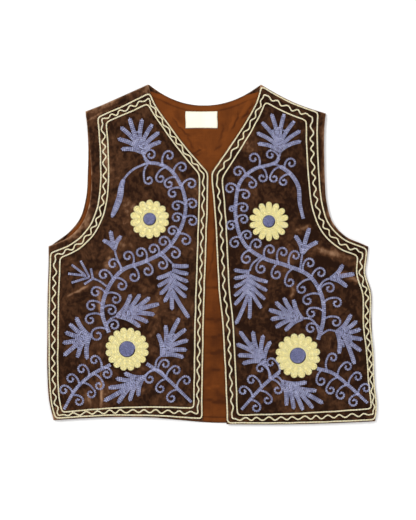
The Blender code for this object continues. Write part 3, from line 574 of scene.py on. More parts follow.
def surfaceOf(piece):
    points = [v.co - Vector((*patternShift, 0.0)) for v in piece.data.vertices]
    return BVHTree.FromPolygons(points, [tuple(p.vertices) for p in piece.data.polygons])


def seatHeights(surface, points):
    down = Vector((0.0, 0.0, -1.0))
    heights = []
    for point in points:
        hit = surface.ray_cast(Vector((point[0], point[1], 1.0)), down)[0]
        heights.append(hit.z if hit else heights[-1] if heights else cloth["frontLevel"])
    return heights


# stitches
stitch = {
    "lavenderWidth": 0.0032,
    "leafWidth": 0.0038,
    "lavenderPitch": 0.0030,
    "yellowPitch": 0.0022,
    "creamWidth": 0.0022,
    "creamPitch": 0.0023,
    "height": 0.00125,
    "yellowHeight": 0.00095,
    "creamHeight": 0.00105,
    "overlap": 1.25,
    "lavenderOverlap": 1.06,
    "sunk": 0.00010,
    "ringSides": 5,
    # along, across, up, half width and half height of each ring of a leg
    "rings": ((-0.22, 0.235, 0.46, 0.20, 0.42), (0.20, 0.275, 0.54, 0.21, 0.45)),
    "variety": 0.10,
    "strandShift": 0.0007,
    "cell": 0.003,
}


def linkTemplate():
    # one link of chain stitch: two plump legs that part and meet again, in shares of
    # its length, width and height
    sides = stitch["ringSides"]
    vertices, faces = [], []
    for side in (1, -1):
        base = len(vertices)
        vertices.append((-0.50, side * 0.10, 0.30))
        for x, y, z, wide, tall in stitch["rings"]:
            for k in range(sides):
                turn = pi / 2 + 2 * pi * k / sides
                vertices.append((x, side * y + wide * cos(turn), z + tall * sin(turn)))
        vertices.append((0.50, side * 0.07, 0.62))
        for k in range(sides):
            n = (k + 1) % sides
            faces.append((base, base + 1 + n, base + 1 + k))
            faces.append((base + 1 + k, base + 1 + n, base + 1 + sides + n, base + 1 + sides + k))
            faces.append((base + 1 + sides + k, base + 1 + sides + n, base + 1 + 2 * sides))
    return np.array(vertices), faces


linkVertices, linkFaces = linkTemplate()


def newSewing(surface, seed, overlap):
    return {"surface": surface, "random": Random(seed), "links": [], "centres": {},
            "overlap": overlap}


def cellOf(point):
    return int(point.x // stitch["cell"]), int(point.y // stitch["cell"])


def isSewn(sewing, point, reach):
    i, j = cellOf(point)
    for a in (i - 1, i, i + 1):
        for b in (j - 1, j, j + 1):
            for other in sewing["centres"].get((a, b), ()):
                if (other - point).length < reach:
                    return True
    return False


def sewRow(sewing, points, width, pitch, height, clear=0.0):
    points = resample([Vector(p) for p in points], pitch)
    heights = seatHeights(sewing["surface"], points)
    made = []
    chance = sewing["random"].random
    for k, (a, b) in enumerate(zip(points, points[1:])):
        middle = (a + b) / 2
        if clear and isSewn(sewing, middle, clear):
            continue
        made.append(middle)
        length = (b - a).length
        along = (b - a) / length
        slope = (heights[k + 1] - heights[k]) / length
        rest = (heights[k] + heights[k + 1]) / 2 - stitch["sunk"]
        vary = 1 + stitch["variety"] * (chance() - 0.5)
        sewing["links"].append((middle.x, middle.y, rest, along.x, along.y, slope,
                                length * sewing["overlap"], width * vary, height * vary, chance()))
    for point in made:
        sewing["centres"].setdefault(cellOf(point), []).append(point)


def addStitches(sewing, name):
    links = np.array(sewing["links"])
    x, y, z, dx, dy, slope, length, width, height, tone = (links[:, i:i + 1] for i in range(10))
    u, v, w = linkVertices.T
    along, across = u * length, v * width
    places = np.stack([x + dx * along - dy * across, y + dy * along + dx * across,
                       z + slope * along + w * height], axis=2)
    size = len(linkVertices)
    faces = [tuple(size * k + i for i in face) for k in range(len(links)) for face in linkFaces]
    piece = addMesh(name, places.reshape(-1, 3), faces)
    shape = places.shape[:2]
    setNumbers(piece, "crown", np.broadcast_to(w, shape).ravel())
    shift = np.arange(len(links))[:, None] * stitch["strandShift"]
    setNumbers(piece, "strand", (along + shift).ravel())
    setNumbers(piece, "tone", np.broadcast_to(tone, shape).ravel())
    return piece


# cream border lines
border = {
    "step": 0.006,
    "overrun": 0.040,
    # period and height of the wave on each edge
    "waves": {"side": (0.0172, 0.0026), "armhole": (0.0168, 0.0026), "shoulder": (0.0168, 0.0026),
              "neck": (0.0172, 0.0022), "front": (0.0196, 0.0019), "hem": (0.0176, 0.0025)},
    "wavePoints": 12,
    "columns": 40,
    "cornerStep": 0.003,
    "cornerPasses": 3,
    "waveSide": 0.0018,
    "waveClearance": 0.0002,
    "waveVariety": 0.34,
    "waveDrift": 0.20,
    "wander": 0.00050,
}


def frontEdges(front):
    # side, armhole, shoulder, neck, front and hem, in a walk round the front
    columns = border["columns"]
    shares = [k / columns for k in range(columns + 1)]
    plan, underarm, neckBreak = frontPlan(front, border["step"], shares)
    outer = [row[0] for row in plan]
    inner = [row[-1] for row in plan]
    return (outer[:underarm + 1], outer[underarm:], plan[-1][:],
            inner[:neckBreak - 1:-1], inner[neckBreak::-1], plan[0][::-1])


def insetEdge(points, start, end, turn):
    points = resample(points, border["step"])
    last = len(points) - 1
    moved = []
    for i, point in enumerate(points):
        inset = start + (end - start) * i / last
        moved.append(point + sideNormal(points, i) * turn * inset)
    moved[0] = moved[0] + (moved[0] - moved[1]).normalized() * border["overrun"]
    moved[-1] = moved[-1] + (moved[-1] - moved[-2]).normalized() * border["overrun"]
    return moved


def crossing(a, b, c, d):
    first, second = b - a, d - c
    area = first.x * second.y - first.y * second.x
    if abs(area) < 1e-12:
        return None
    away = c - a
    s = (away.x * second.y - away.y * second.x) / area
    t = (away.x * first.y - away.y * first.x) / area
    return a + first * s if 0 <= s <= 1 and 0 <= t <= 1 else None


def meetingPoint(first, second):
    for i in range(len(first) - 1, 0, -1):
        for j in range(len(second) - 1):
            hit = crossing(first[i - 1], first[i], second[j], second[j + 1])
            if hit:
                return i, j, hit
    return len(first) - 1, 0, (first[-1] + second[0]) / 2


def lineStretches(front, edges, share):
    moved = []
    for edge, (_, *insets) in zip(edges, front["insets"]):
        outerStart, outerEnd, innerStart, innerEnd = (inset / 1000 for inset in insets)
        start = outerStart + (innerStart - outerStart) * share
        end = outerEnd + (innerEnd - outerEnd) * share
        moved.append(insetEdge(edge, start, end, front["turn"]))
    meets = [meetingPoint(moved[k - 1], moved[k]) for k in range(len(moved))]
    stretches = []
    for k, points in enumerate(moved):
        begin, finish = meets[k], meets[(k + 1) % len(meets)]
        stretches.append([begin[2]] + points[begin[1] + 1:finish[0]] + [finish[2]])
    return stretches


def wander(points, amount, seed):
    # a hand-guided line strays a little from its course
    return [p + sideNormal(points, i) * amount * noise.noise(Vector((p.x * 55, p.y * 55, seed)))
            for i, p in enumerate(points)]


def softened(points, passes):
    # the rows turn each corner in a small curve
    for _ in range(passes):
        points = [(points[i - 1] + points[i] * 2 + points[(i + 1) % len(points)]) / 4
                  for i in range(len(points))]
    return points


def wavyPath(stretches, insets):
    points = []
    for stretch, (edge, *ends) in zip(stretches, insets):
        period, most = border["waves"][edge]
        outerStart, outerEnd, innerStart, innerEnd = (inset / 1000 for inset in ends)
        spaces = (innerStart - outerStart, innerEnd - outerEnd)
        length = sum((b - a).length for a, b in zip(stretch, stretch[1:]))
        waves = round(length / period)
        steps = border["wavePoints"] * waves
        line = resample(stretch, length / steps * 1.0001)
        steps = len(line) - 1
        for i in range(steps):
            space = spaces[0] + (spaces[1] - spaces[0]) * i / steps
            room = space / 2 - border["waveSide"] - border["waveClearance"]
            phase = waves * i / steps
            height = min(most, room) * min(1.0, (phase + 0.25), (waves - phase))
            stray = noise.noise(Vector((phase * 0.9, length * 40, 3.0)))
            height *= 1 + border["waveVariety"] * stray
            drift = border["waveDrift"] * noise.noise(Vector((phase * 0.7, length * 30, 7.0)))
            swing = height * sin(2 * pi * (phase + drift) + pi / 4)
            points.append(line[i] + sideNormal(line, i) * swing)
    return points + [points[0]]


def borderRows(front):
    edges = frontEdges(front)
    rows = {}
    for name, share in (("outer_line", 0.0), ("inner_line", 1.0)):
        stretches = lineStretches(front, edges, share)
        points = [p for stretch in stretches
                  for p in resample(stretch, border["cornerStep"])[:-1]]
        points = softened(points, border["cornerPasses"])
        rows[name] = wander(points + [points[0]], border["wander"], share + 2.0)
    rows["wavy_line"] = wavyPath(lineStretches(front, edges, 0.5), front["insets"])
    return rows


# leaves, whose fingers are worked in rows up one side and down the other
leafShape = {
    "bow": 0.055,
    "hangingBow": 0.25,
    "hangingFingers": (5, 4),
    "clear": 0.0018,
    "fillClear": 0.0023,
    "fillShare": 0.52,
    "smallFillShare": 0.20,
    "hangingFillShare": 0.18,
    "doubleFrom": 0.005,
    "steps": 8,
    "leastBow": 0.3,
    "capLength": 1.15,
    "fillStart": 0.3,
}


def fanFingers(leaf):
    _, x, y, turn, fan, count, reach, sideReach, longest, taper, spine, lean, _ = leaf
    reach, sideReach, spine = reach / 1000, sideReach / 1000, spine / 1000
    base = inMetres(x, y)
    main = heading(turn + fan * (0.5 - longest) + lean)
    fingers = []
    for k in range(count):
        share = k / (count - 1)
        room = longest if share < longest else 1 - longest
        away = abs(share - longest) / max(room, 0.001)
        length = sideReach + (reach - sideReach) * (1 - away) ** taper
        tip = base + heading(turn + fan * (0.5 - share)) * length
        fingers.append((away, 1 if share < longest else -1, base + main * spine * (1 - away), tip))
    return fingers


def hangingFingers(leaf, inward):
    (x, y, inner, outer, innerShrink, outerShrink, innerFirst, outerFirst,
     step, end, down, side, rootShare, _) = leaf
    base = inMetres(x, y)
    sides = []
    for count, first, reach, shrink, turn in zip(
            leafShape["hangingFingers"], (innerFirst, outerFirst), (inner, outer),
            (innerShrink, outerShrink), (inward, -inward)):
        fingers = []
        for k in range(count):
            fall = first + step * k
            root = base - inMetres(0, max(0.0, fall) * rootShare)
            tip = base + inMetres(turn * reach * (1 - shrink * k * k), -fall)
            fingers.append((leafShape["hangingBow"], turn, root, tip))
        sides.append(fingers)
    foot = base - inMetres(0, end * rootShare)
    ends = [(0.0, inward, foot, base + inMetres(inward * side, -down)),
            (0.0, inward, foot, base - inMetres(0, end))]
    return sides[0] + ends + sides[1][::-1]


def leafRows(base, fingers, width, fillShare):
    clear, fillClear = leafShape["clear"], leafShape["fillClear"]
    steps = leafShape["steps"]
    single = width < leafShape["doubleFrom"]
    half = width / 2 - stitch["leafWidth"] / 2
    rows = []
    for away, side, root, tip in sorted(fingers, key=lambda f: f[0]):
        along = (tip - root).normalized()
        across = Vector((-along.y, along.x))
        length = (tip - root).length
        bow = leafShape["bow"] * length * side * (leafShape["leastBow"] + away)
        end = length - width / 2
        if single:
            rows.append(([root, root + along * end], clear))
            continue
        up, down = [[root + along * end * i / steps
                     + across * (direction * half - bow * sin(pi * i / steps))
                     for i in range(steps + 1)] for direction in (1, -1)]
        centre = root + along * end
        cap = [centre + along * half * sin(a) * leafShape["capLength"] + across * half * cos(a)
               for a in (pi / 4, pi / 2, 3 * pi / 4)]
        rows.append((up + cap + down[::-1], clear))
    if single:
        return rows
    # rows that fill the leaf along its spine and between its fingers
    furthest = max((f[2] for f in fingers), key=lambda root: (root - base).length)
    rows.append(([base, furthest], fillClear))
    for first, second in zip(fingers, fingers[1:]):
        root = (first[2] + second[2]) / 2
        tip = (first[3] + second[3]) / 2
        start = base.lerp(root, leafShape["fillStart"])
        rows.append(([start, root, root.lerp(tip, fillShare)], fillClear))
    return rows


def leavesOf(front):
    rows = {}
    for leaf in front["leaves"]:
        fingers = fanFingers(leaf)
        fillShare = leafShape["smallFillShare"] if len(fingers) < 4 else leafShape["fillShare"]
        rows[leaf[0]] = leafRows(inMetres(*leaf[1:3]), fingers, leaf[-1] / 1000, fillShare)
    leaf = front["hangingLeaf"]
    fingers = hangingFingers(leaf, -front["turn"])
    rows["hanging"] = leafRows(inMetres(*leaf[:2]), fingers, leaf[-1] / 1000,
                               leafShape["hangingFillShare"])
    return rows


# stems, scrolls and stalks
stemShape = {
    "step": 0.002,
    # a stem is two rows side by side
    "rowPlace": 0.25,
    "rowWidth": 1.08 / 2,
}


def stemPath(stem):
    return smoothCurve(stem[4], stemShape["step"])


def stemWidth(stem, share):
    # it is at its fullest two thirds of the way along
    base, full, end = (width / 1000 for width in stem[1:4])
    if share < 2 / 3:
        return base + (full - base) * share * 1.5
    return full + (end - full) * (share * 3 - 2)


def stemRows(stem):
    path = stemPath(stem)
    last = len(path) - 1
    return [[p + sideNormal(path, i) * side * stemWidth(stem, i / last) * stemShape["rowPlace"]
             for i, p in enumerate(path)] for side in (1, -1)]


# a pod hangs from a single row and swells to three
pod = {
    "stalkShare": 0.38,
    "spread": 0.0031,
    "roundness": 0.5,
    "rowWidth": 0.0036,
    "clear": 0.0013,
}


def podRows(stem):
    path = stemPath(stem)
    last = len(path) - 1
    first = round(last * pod["stalkShare"])
    rows = [path]
    for side in (1, -1):
        row = []
        for i in range(first, last + 1):
            spread = pod["spread"] * sin(pi * (i - first) / (last - first)) ** pod["roundness"]
            row.append(path[i] + sideNormal(path, i) * side * spread)
        rows.append(row)
    return rows


scroll = {
    "turns": 1.27,
    "innerRadius": 0.0013,
    "footShare": 0.22,
    "footTurn": 80.0,
    "shrink": 0.60,
    "nearestShare": 0.86,
    "steps": 60,
}


def scrollPath(path, centre, radius):
    # it leaves its stem upstream, arches over and winds in on its centre
    centre = inMetres(*centre)
    nearest = min(range(len(path)), key=lambda i: (path[i] - centre).length)
    normal = sideNormal(path, nearest)
    radius = min(radius / 1000, (path[nearest] - centre).length * scroll["nearestShare"])
    turn = -1 if (centre - path[nearest]).dot(normal) > 0 else 1
    upstream = Vector((-normal.y, normal.x))
    foot = path[nearest] + upstream * radius * scroll["footShare"]
    foot = min(path, key=lambda p: (p - foot).length)
    start = atan2((foot - centre).y, (foot - centre).x)
    footReach = (foot - centre).length
    total = scroll["turns"] * 2 * pi
    footTurn = radians(scroll["footTurn"])
    inner, steps = scroll["innerRadius"], scroll["steps"]
    points = []
    for k in range(steps + 1):
        angle = total * k / steps
        size = inner + (radius - inner) * (1 - k / steps) ** scroll["shrink"]
        size += (footReach - radius) * max(0.0, 1 - angle / footTurn) ** 2
        way = start + turn * angle
        points.append(centre + Vector((cos(way), sin(way))) * size)
    return points


# daisies
daisy = {
    "rowPitch": 0.0023,
    "petalOverlap": 1.14,
    "petalClear": 0.0010,
    "centreOverlap": 1.08,
    "centreHeight": 1.25,
    # how far the petals' loops and spines reach under the centre
    "loopTuck": 0.0006,
    "spineTuck": 0.0004,
    "centreSteps": 20,
}


def petalRows(flower):
    _, x, y, radius, centreRadius, petals, fullness = flower
    middle = inMetres(x, y)
    radius, centreRadius = radius / 1000, centreRadius / 1000
    slope = pi / petals
    lobeCentre = radius / (1 + slope * fullness)
    lobe = radius - lobeCentre
    loops = max(1, round(lobe / daisy["rowPitch"] - 0.5))
    pitch = lobe / (loops + 0.5)
    rows = []
    for p in range(petals):
        out = heading(360 * (p + 0.5) / petals)
        side = Vector((-out.y, out.x))
        for j in range(loops, 0, -1):
            inset = lobe - j * pitch
            first = max(centreRadius - daisy["loopTuck"], inset / slope)
            spots = [first + (lobeCentre - first) * k / 6 for k in range(7)]
            halves = [side * max(min(slope * r, lobe) - inset, 0.0) for r in spots]
            left = [middle + out * r + half for r, half in zip(spots, halves)]
            right = [middle + out * r - half for r, half in zip(spots, halves)]
            turn = [middle + out * (lobeCentre + j * pitch * sin(a)) + side * j * pitch * cos(a)
                    for a in (pi / 6, pi / 3, pi / 2, 2 * pi / 3, 5 * pi / 6)]
            rows.append((left + turn + right[::-1], pitch))
        spine = [middle + out * (centreRadius - daisy["spineTuck"]),
                 middle + out * (lobeCentre + pitch * 0.5)]
        rows.append((spine, pitch))
    return rows


def centreRow(flower):
    _, x, y, _, radius, _, _ = flower
    middle, radius = inMetres(x, y), radius / 1000
    pitch = daisy["rowPitch"]
    points = []
    turns = radius / pitch
    steps = ceil(turns * daisy["centreSteps"])
    for k in range(steps):
        share = k / steps
        size = (radius - pitch / 2) * (1 - share)
        angle = 2 * pi * turns * share
        points.append(middle + Vector((cos(angle), sin(angle))) * size)
    return points, pitch


# the back and its lining
backPanel = {
    "flat": (0.503, 0.519),
    "area": 0.216,
    # sizes of a mesh row low down, high up and at both ends, and of a column
    # between the neck points and outside them
    "rowSteps": (0.0045, 0.0045, 0.0022),
    "columnSteps": (0.0036, 0.0044),
    # where columns and rows of the mesh lie closer
    "width": 0.50,
    "rimShare": 0.006,
    "neckShares": (0.29, 0.66),
    "closeRows": ("chest", "high chest", "collarbone"),
    # level, right x, right y, left x, left y, sewn there, which edge turns a corner
    "sections": (
        ("hem", -241.5, -251, 249.5, -253.5, True, ""),
        ("above the hem", -248, -225, 251.8, -235, True, ""),
        ("hip", -251, -180, 248.8, -198, True, ""),
        ("waist", -251, -120, 246.5, -145, True, ""),
        ("ribs", -250.5, -60, 242.8, -70, True, ""),
        ("low chest", -249, -15, 234.5, -26, True, ""),
        ("underarm", -249, 12, 239, 11.5, True, "outer"),
        ("armhole start", -240.5, 18.5, 229, 16.2, True, ""),
        ("armhole curve", -219, 34.5, 205.5, 27, False, ""),
        ("armhole turn", -202, 56, 184.5, 49.5, False, ""),
        ("chest", -193.5, 84, 175, 82.5, False, ""),
        ("high chest", -190, 130, 172.4, 125, False, ""),
        ("collarbone", -189.7, 175, 171.4, 170, False, ""),
        ("below the shoulder", -192, 208, 172.7, 206, False, ""),
        ("shoulder", -193, 218.5, 174, 215.5, False, ""),
    ),
    # bends of the hem: share of the width, reach, rise
    "hemBends": ((0.2, 0.13, 0.005), (0.52, 0.13, -0.0055)),
    "neckRight": Vector((-0.097, 0.2615)),
    "neckLeft": Vector((0.0745, 0.2605)),
    "neckLowest": Vector((-0.012, 0.229)),
    "neckPower": 2.1,
    "neckTurn": 0.0214,
    "creaseRim": 0.01,
    "roughSize": 0.018,
    "roughHeight": 0.00018,
    "roughRim": 0.008,
    "hemPlace": 0.0095,
    "hemWidth": 0.0016,
    "hemHeight": 0.00035,
    "hemRim": 0.002,
    # a painted sheen along the rim and painted highlights on the raised creases
    "paintedEdgeSheen": 0.30,
    "paintedCreaseShading": 400,
    "mostPaintedCreaseHighlight": 0.25,
    "leftSag": -0.005,
    # soft creases of the hidden back
    "creases": (
        (-150, 120, 70, 50, 6, -0.5), (120, 100, 115, 42, 5, -0.5),
        (-190, -30, 20, 48, 6, -0.55), (175, -50, -24, 60, 7, -0.55),
        (30, -120, 84, 70, 6, -0.45), (-110, -190, 98, 40, 5, -0.5),
        (150, -190, 75, 35, 4.5, -0.5), (-20, 50, 5, 56, 7, -0.4),
    ),
}

lining = {
    "flat": (0.484, 0.508),
    "area": 0.207,
    "rowSteps": (0.0038, 0.0020, 0.0011),
    "columnSteps": (0.0017, 0.0050),
    "edgeInset": 0.0012,
    "seamInset": 0.0095,
    "neckSeam": 0.0085,
    "hemSeam": 0.0075,
    "seamDepth": 0.00035,
    "seamWidth": 0.0009,
    "turningHeight": 0.00018,
    "creaseRim": 0.004,
    # size and height of its unevenness
    "broad": (0.021, 0.00022),
    "narrow": (0.007, 0.00008),
    "limits": (-0.0006, 0.0009),
    "underLimits": (-0.0001, 0.0004),
    "leastThickness": 0.0002,
    "leastRim": 0.0005,
    "labelReach": 0.004,
    "labelOverlap": 0.001,
    "labelShare": 0.1,
    # painted shade in the lining's troughs and painted highlight on its ridges
    "foldShade": 1500,
    "foldLimits": (-0.6, 1.0),
    "creases": (
        (-51, 198, -51, 23, 1.3, -0.55), (-54, 204, -50, 20, 2.2, 0.45),
        (-20, 159, 20, 6, 1.1, -0.55), (-15, 162, -30, 5, 1.1, 0.55),
        (-24, 154, -5, 6, 1.2, -0.45), (-33, 172, -65, 12, 1.6, -0.35),
        (56, 220, 56, 15, 1.6, -0.6), (51, 223, 58, 14, 2, 0.55), (62, 217, 62, 12, 1.6, 0.5),
        (37, 204, 66, 13, 1.6, -0.55), (31, 200, 68, 12, 2.2, 0.4),
        (16, 186, 75, 12, 1.8, -0.35), (10, 164, 40, 8, 1.6, -0.3), (4, -50, 3, 16, 1.4, -0.4),
        (5, -100, -4, 15, 1.6, -0.45), (6, -125, 6, 16, 1.3, -0.35),
        (4, -176, -8, 13, 1.6, -0.4), (2, -203, 10, 12, 1.5, 0.35), (4, 20, 86, 60, 1.5, -0.35),
        (6, -150, 2, 15, 2, -0.5), (6, -225, -6, 15, 2.2, -0.5),
    ),
    # painted shade, as in the gap between the fronts, and lighter below 0: x, y, heading, length,
    # width, strength
    "shade": ((6, -170, 90, 110, 35, 0.26), (-6, 166, 90, 16, 18, -0.06)),
}


def neckRise(x):
    rightTip, leftTip = (edge[-1] for edge in sectionEdges(backPanel["sections"]))
    right, left, lowest = backPanel["neckRight"], backPanel["neckLeft"], backPanel["neckLowest"]
    if x <= right.x:
        return rightTip.lerp(right, (x - rightTip.x) / (right.x - rightTip.x)).y
    if x >= left.x:
        share = (x - leftTip.x) / (left.x - leftTip.x)
        return leftTip.lerp(left, share).y + backPanel["leftSag"] * sin(pi * share)
    point = right if x < lowest.x else left
    share = abs((x - lowest.x) / (point.x - lowest.x))
    return lowest.y + (point.y - lowest.y) * share ** backPanel["neckPower"]


def backPlan(size, seamInset, edgeInset):
    sections = backPanel["sections"]
    right, left = sectionEdges(sections)
    coarse, fine, ends = size["rowSteps"]
    last = len(sections) - 1
    steps = [fine if s[0] in backPanel["closeRows"] else coarse for s in sections[:-1]]
    steps[0] = steps[-1] = ends
    places = rowPlaces(right, left, steps, cloth["rimRows"][:2])
    shares = backShares(*size["columnSteps"])
    insets = [Vector((seamInset if s[5] else edgeInset, 0.0)) for s in sections]
    right = [p + inset for p, inset in zip(right, insets)]
    left = [p - inset for p, inset in zip(left, insets)]
    corners = cornerAt(sections, "outer")
    first = corners[0]
    rises = []  # of each column at the neck and at the hem
    for t in shares:
        top = right[-1].lerp(left[-1], t)
        inside = min(top.x - backPanel["neckRight"].x, backPanel["neckLeft"].x - top.x)
        atRim = min(1.0, max(0.0, inside / backPanel["neckTurn"]))
        drop = seamInset + (edgeInset - seamInset) * atRim
        bends = sum(rise * exp(-((t - place) / reach) ** 2)
                    for place, reach, rise in backPanel["hemBends"])
        rises.append((neckRise(top.x) - top.y - drop, edgeInset + bends))
    plan = []
    for index, share in places:
        start = curvePoint(right, corners, index, share)
        end = curvePoint(left, corners, index, share)
        row = [start.lerp(end, t) for t in shares]
        level = index + share
        high = max(0.0, (level - first) / (last - first))
        lower = max(0.0, 1 - level / 3)
        for point, (atNeck, atHem) in zip(row, rises):
            point.y += atNeck * high + atHem * lower
        plan.append(row)
    return plan


def backShares(middle, outside):
    # close columns between the neck points, wider ones towards the sides
    width, rim = backPanel["width"], backPanel["rimShare"]
    start, end = backPanel["neckShares"]
    near = [0.0] + [x / width for x in cloth["rimRows"][:2]]
    shares = list(near)
    for first, second, step in ((rim, start, outside), (start, end, middle),
                                (end, 1 - rim, outside)):
        count = ceil((second - first) * width / step)
        shares += [first + (second - first) * k / count for k in range(count)]
    return shares + [1 - rim] + [1 - x for x in reversed(near)]


def pathDistance(points, path):
    path = list(path)
    return edgeDistance(points, path + path[-2:0:-1])


def addBack():
    plan = backPlan(backPanel, 0.0, 0.0)
    points = flatPoints(plan)
    edge = edgeDistance(points, rimLoop(plan))
    crease = marks(backPanel["creases"], points, crooked=True) / 1000
    crease *= easeIn(edge, backPanel["creaseRim"])
    rough = unevenness(points, backPanel["roughSize"], 5.0) * backPanel["roughHeight"]
    rough *= easeIn(edge, backPanel["roughRim"])
    hem = backPanel["hemHeight"] * ridge(edge, backPanel["hemWidth"], backPanel["hemPlace"])
    hem *= easeIn(edge, backPanel["hemRim"])
    rounding = roundedEdge(edge, cloth["backThickness"] / 2)
    # painted sheen at the rim and painted highlights on the raised creases
    light = backPanel["paintedEdgeSheen"] * ridge(edge, cloth["paintedEdgeSheenWidth"])
    light += np.clip(crease * -backPanel["paintedCreaseShading"], 0, backPanel["mostPaintedCreaseHighlight"])
    return clothShell("back_velvet", plan, cloth["backThickness"] - rounding,
                      np.maximum(0.0, rough - crease + hem) + rounding, "nap", light)


def addLining():
    plan = backPlan(lining, lining["seamInset"], lining["edgeInset"])
    points = flatPoints(plan)
    edge = edgeDistance(points, rimLoop(plan))
    neck = [p for p in plan[-1] if backPanel["neckRight"].x < p.x < backPanel["neckLeft"].x]
    shape = marks(lining["creases"], points, crooked=True) / 1000
    shape *= easeIn(edge, lining["creaseRim"])
    (broad, broadHeight), (narrow, narrowHeight) = lining["broad"], lining["narrow"]
    shape += (unevenness(points, broad, 9.0) * broadHeight
              + unevenness(points, narrow, 4.0) * narrowHeight)
    for path, place in ((neck, lining["neckSeam"]), (plan[0], lining["hemSeam"])):
        distance = pathDistance(points, path)
        shape -= lining["seamDepth"] * ridge(distance, lining["seamWidth"], place)
        shape += lining["turningHeight"] * ridge(distance, place * 0.30, place * 0.5)
    # it lies smooth under the label
    labelX, labelY = labelShape["centre"]
    besideLabel = np.maximum(np.abs(points[:, 0] - labelX) - labelShape["width"] / 2,
                             np.abs(points[:, 1] - labelY) - labelShape["height"] / 2)
    fromLabel = smoothStep((besideLabel + lining["labelOverlap"]) / lining["labelReach"])
    shape *= fromLabel * (1 - lining["labelShare"]) + lining["labelShare"]
    shape = np.clip(shape, *lining["limits"])
    rounding = roundedEdge(edge, cloth["liningThickness"] / 2)
    top = cloth["liningLevel"] + cloth["liningThickness"] + shape - rounding
    bottom = cloth["liningLevel"] + np.clip(shape, *lining["underLimits"]) + rounding
    bottom = np.minimum(bottom, top - lining["leastThickness"] * easeIn(edge, lining["leastRim"]))
    # painted shade in the lining's troughs and painted highlight on its ridges, with more painted
    # shade from the table
    crease = np.clip(-shape * lining["foldShade"], *lining["foldLimits"])
    crease += marks(lining["shade"], points)
    return clothShell("back_lining_cotton", plan, top, bottom, "fold", crease)


def addLabel():
    width, height = labelShape["width"], labelShape["height"]
    left, low = labelShape["centre"][0] - width / 2, labelShape["centre"][1] - height / 2
    across, up = labelShape["columns"], labelShape["rows"]
    plan = []
    for r in range(up + 1):
        row = []
        for c in range(across + 1):
            u, v = c / across, r / up
            sag = labelShape["sideBow"] * sin(pi * u) * (1 if v > 0.5 else -1) * abs(2 * v - 1)
            bow = labelShape["endBow"] * sin(2 * pi * v)
            row.append(Vector((left + width * u + bow, low + height * v - sag)))
        plan.append(row)
    points = flatPoints(plan)
    edge = edgeDistance(points, rimLoop(plan))
    shares = np.array([(c / across, r / up) for r in range(up + 1) for c in range(across + 1)])
    corner = np.abs(2 * shares - 1).prod(axis=1) ** labelShape["cornerPower"]
    wave = labelShape["wave"] * np.sin(shares[:, 0] * 17 + 1.0) * np.sin(shares[:, 1] * 9)
    hem = labelShape["hemDepth"] * ridge(edge, labelShape["hemWidth"], labelShape["hemPlace"])
    base = labelShape["lift"] + labelShape["cornerCurl"] * corner + np.maximum(wave, -0.0001)
    top = base + labelShape["thickness"] * 0.9 - hem
    return clothShell("neck_label_tape", plan, top, base)


# the fronts
def sewnRows(front):
    # each row of stitches: points, width, pitch, height, how far it keeps from others
    cream = (stitch["creamWidth"], stitch["creamPitch"], stitch["creamHeight"], 0)
    pitch, height = stitch["lavenderPitch"], stitch["height"]
    rows = {name: [(points, *cream)] for name, points in borderRows(front).items()}
    for name, leaf in leavesOf(front).items():
        rows[name + "_leaf"] = [(points, stitch["leafWidth"], pitch, height, clear)
                                for points, clear in leaf]
    paths = {}
    for stem in front["stems"]:
        paths[stem[0]] = stemPath(stem)
        if stem[0] == front["swellingPod"]:
            made, size, clear = podRows(stem), pod["rowWidth"], pod["clear"]
        else:
            size = max(stem[1:4]) / 1000 * stemShape["rowWidth"]
            made, clear = stemRows(stem), 0
        rows[stem[0]] = [(points, size, pitch, height, clear) for points in made]
    for flower in front["flowers"]:
        name = flower[0] + "_flower"
        rows[name + "_petals"] = [(points, apart * daisy["petalOverlap"], stitch["yellowPitch"],
                                   stitch["yellowHeight"], daisy["petalClear"])
                                  for points, apart in petalRows(flower)]
        points, apart = centreRow(flower)
        rows[name + "_centre"] = [(points, apart * daisy["centreOverlap"], pitch,
                                   height * daisy["centreHeight"], 0)]
    curls = [scrollPath(paths[stem], centre, radius)
             for stem, radius, centres in front["scrolls"] for centre in centres]
    curls += [smoothCurve(points, 0.001) for points in front["stalks"]]
    rows["scrolls"] = [(points, stitch["lavenderWidth"], pitch, height, 0) for points in curls]
    return rows


def napAndPaintedLight(front, points, edge, crease, sewn):
    # the pile's lighter nap, with a painted sheen at the edge, painted highlights on ridges,
    # painted shade in troughs and painted shade along the stitches
    even, uneven = cloth["patchLight"]
    light = front["lift"] + cloth["paintedEdgeSheen"] * ridge(edge, cloth["paintedEdgeSheenWidth"])
    light += marks(front["nap"], points)
    light *= even + uneven * unevenness(points, cloth["patchSize"], 2.0)
    light += np.clip(crease * cloth["paintedCreaseShading"], *cloth["paintedCreaseShadingLimits"])
    return light - cloth["sewnShade"] * ridge(sewn, cloth["sewnShadeWidth"])


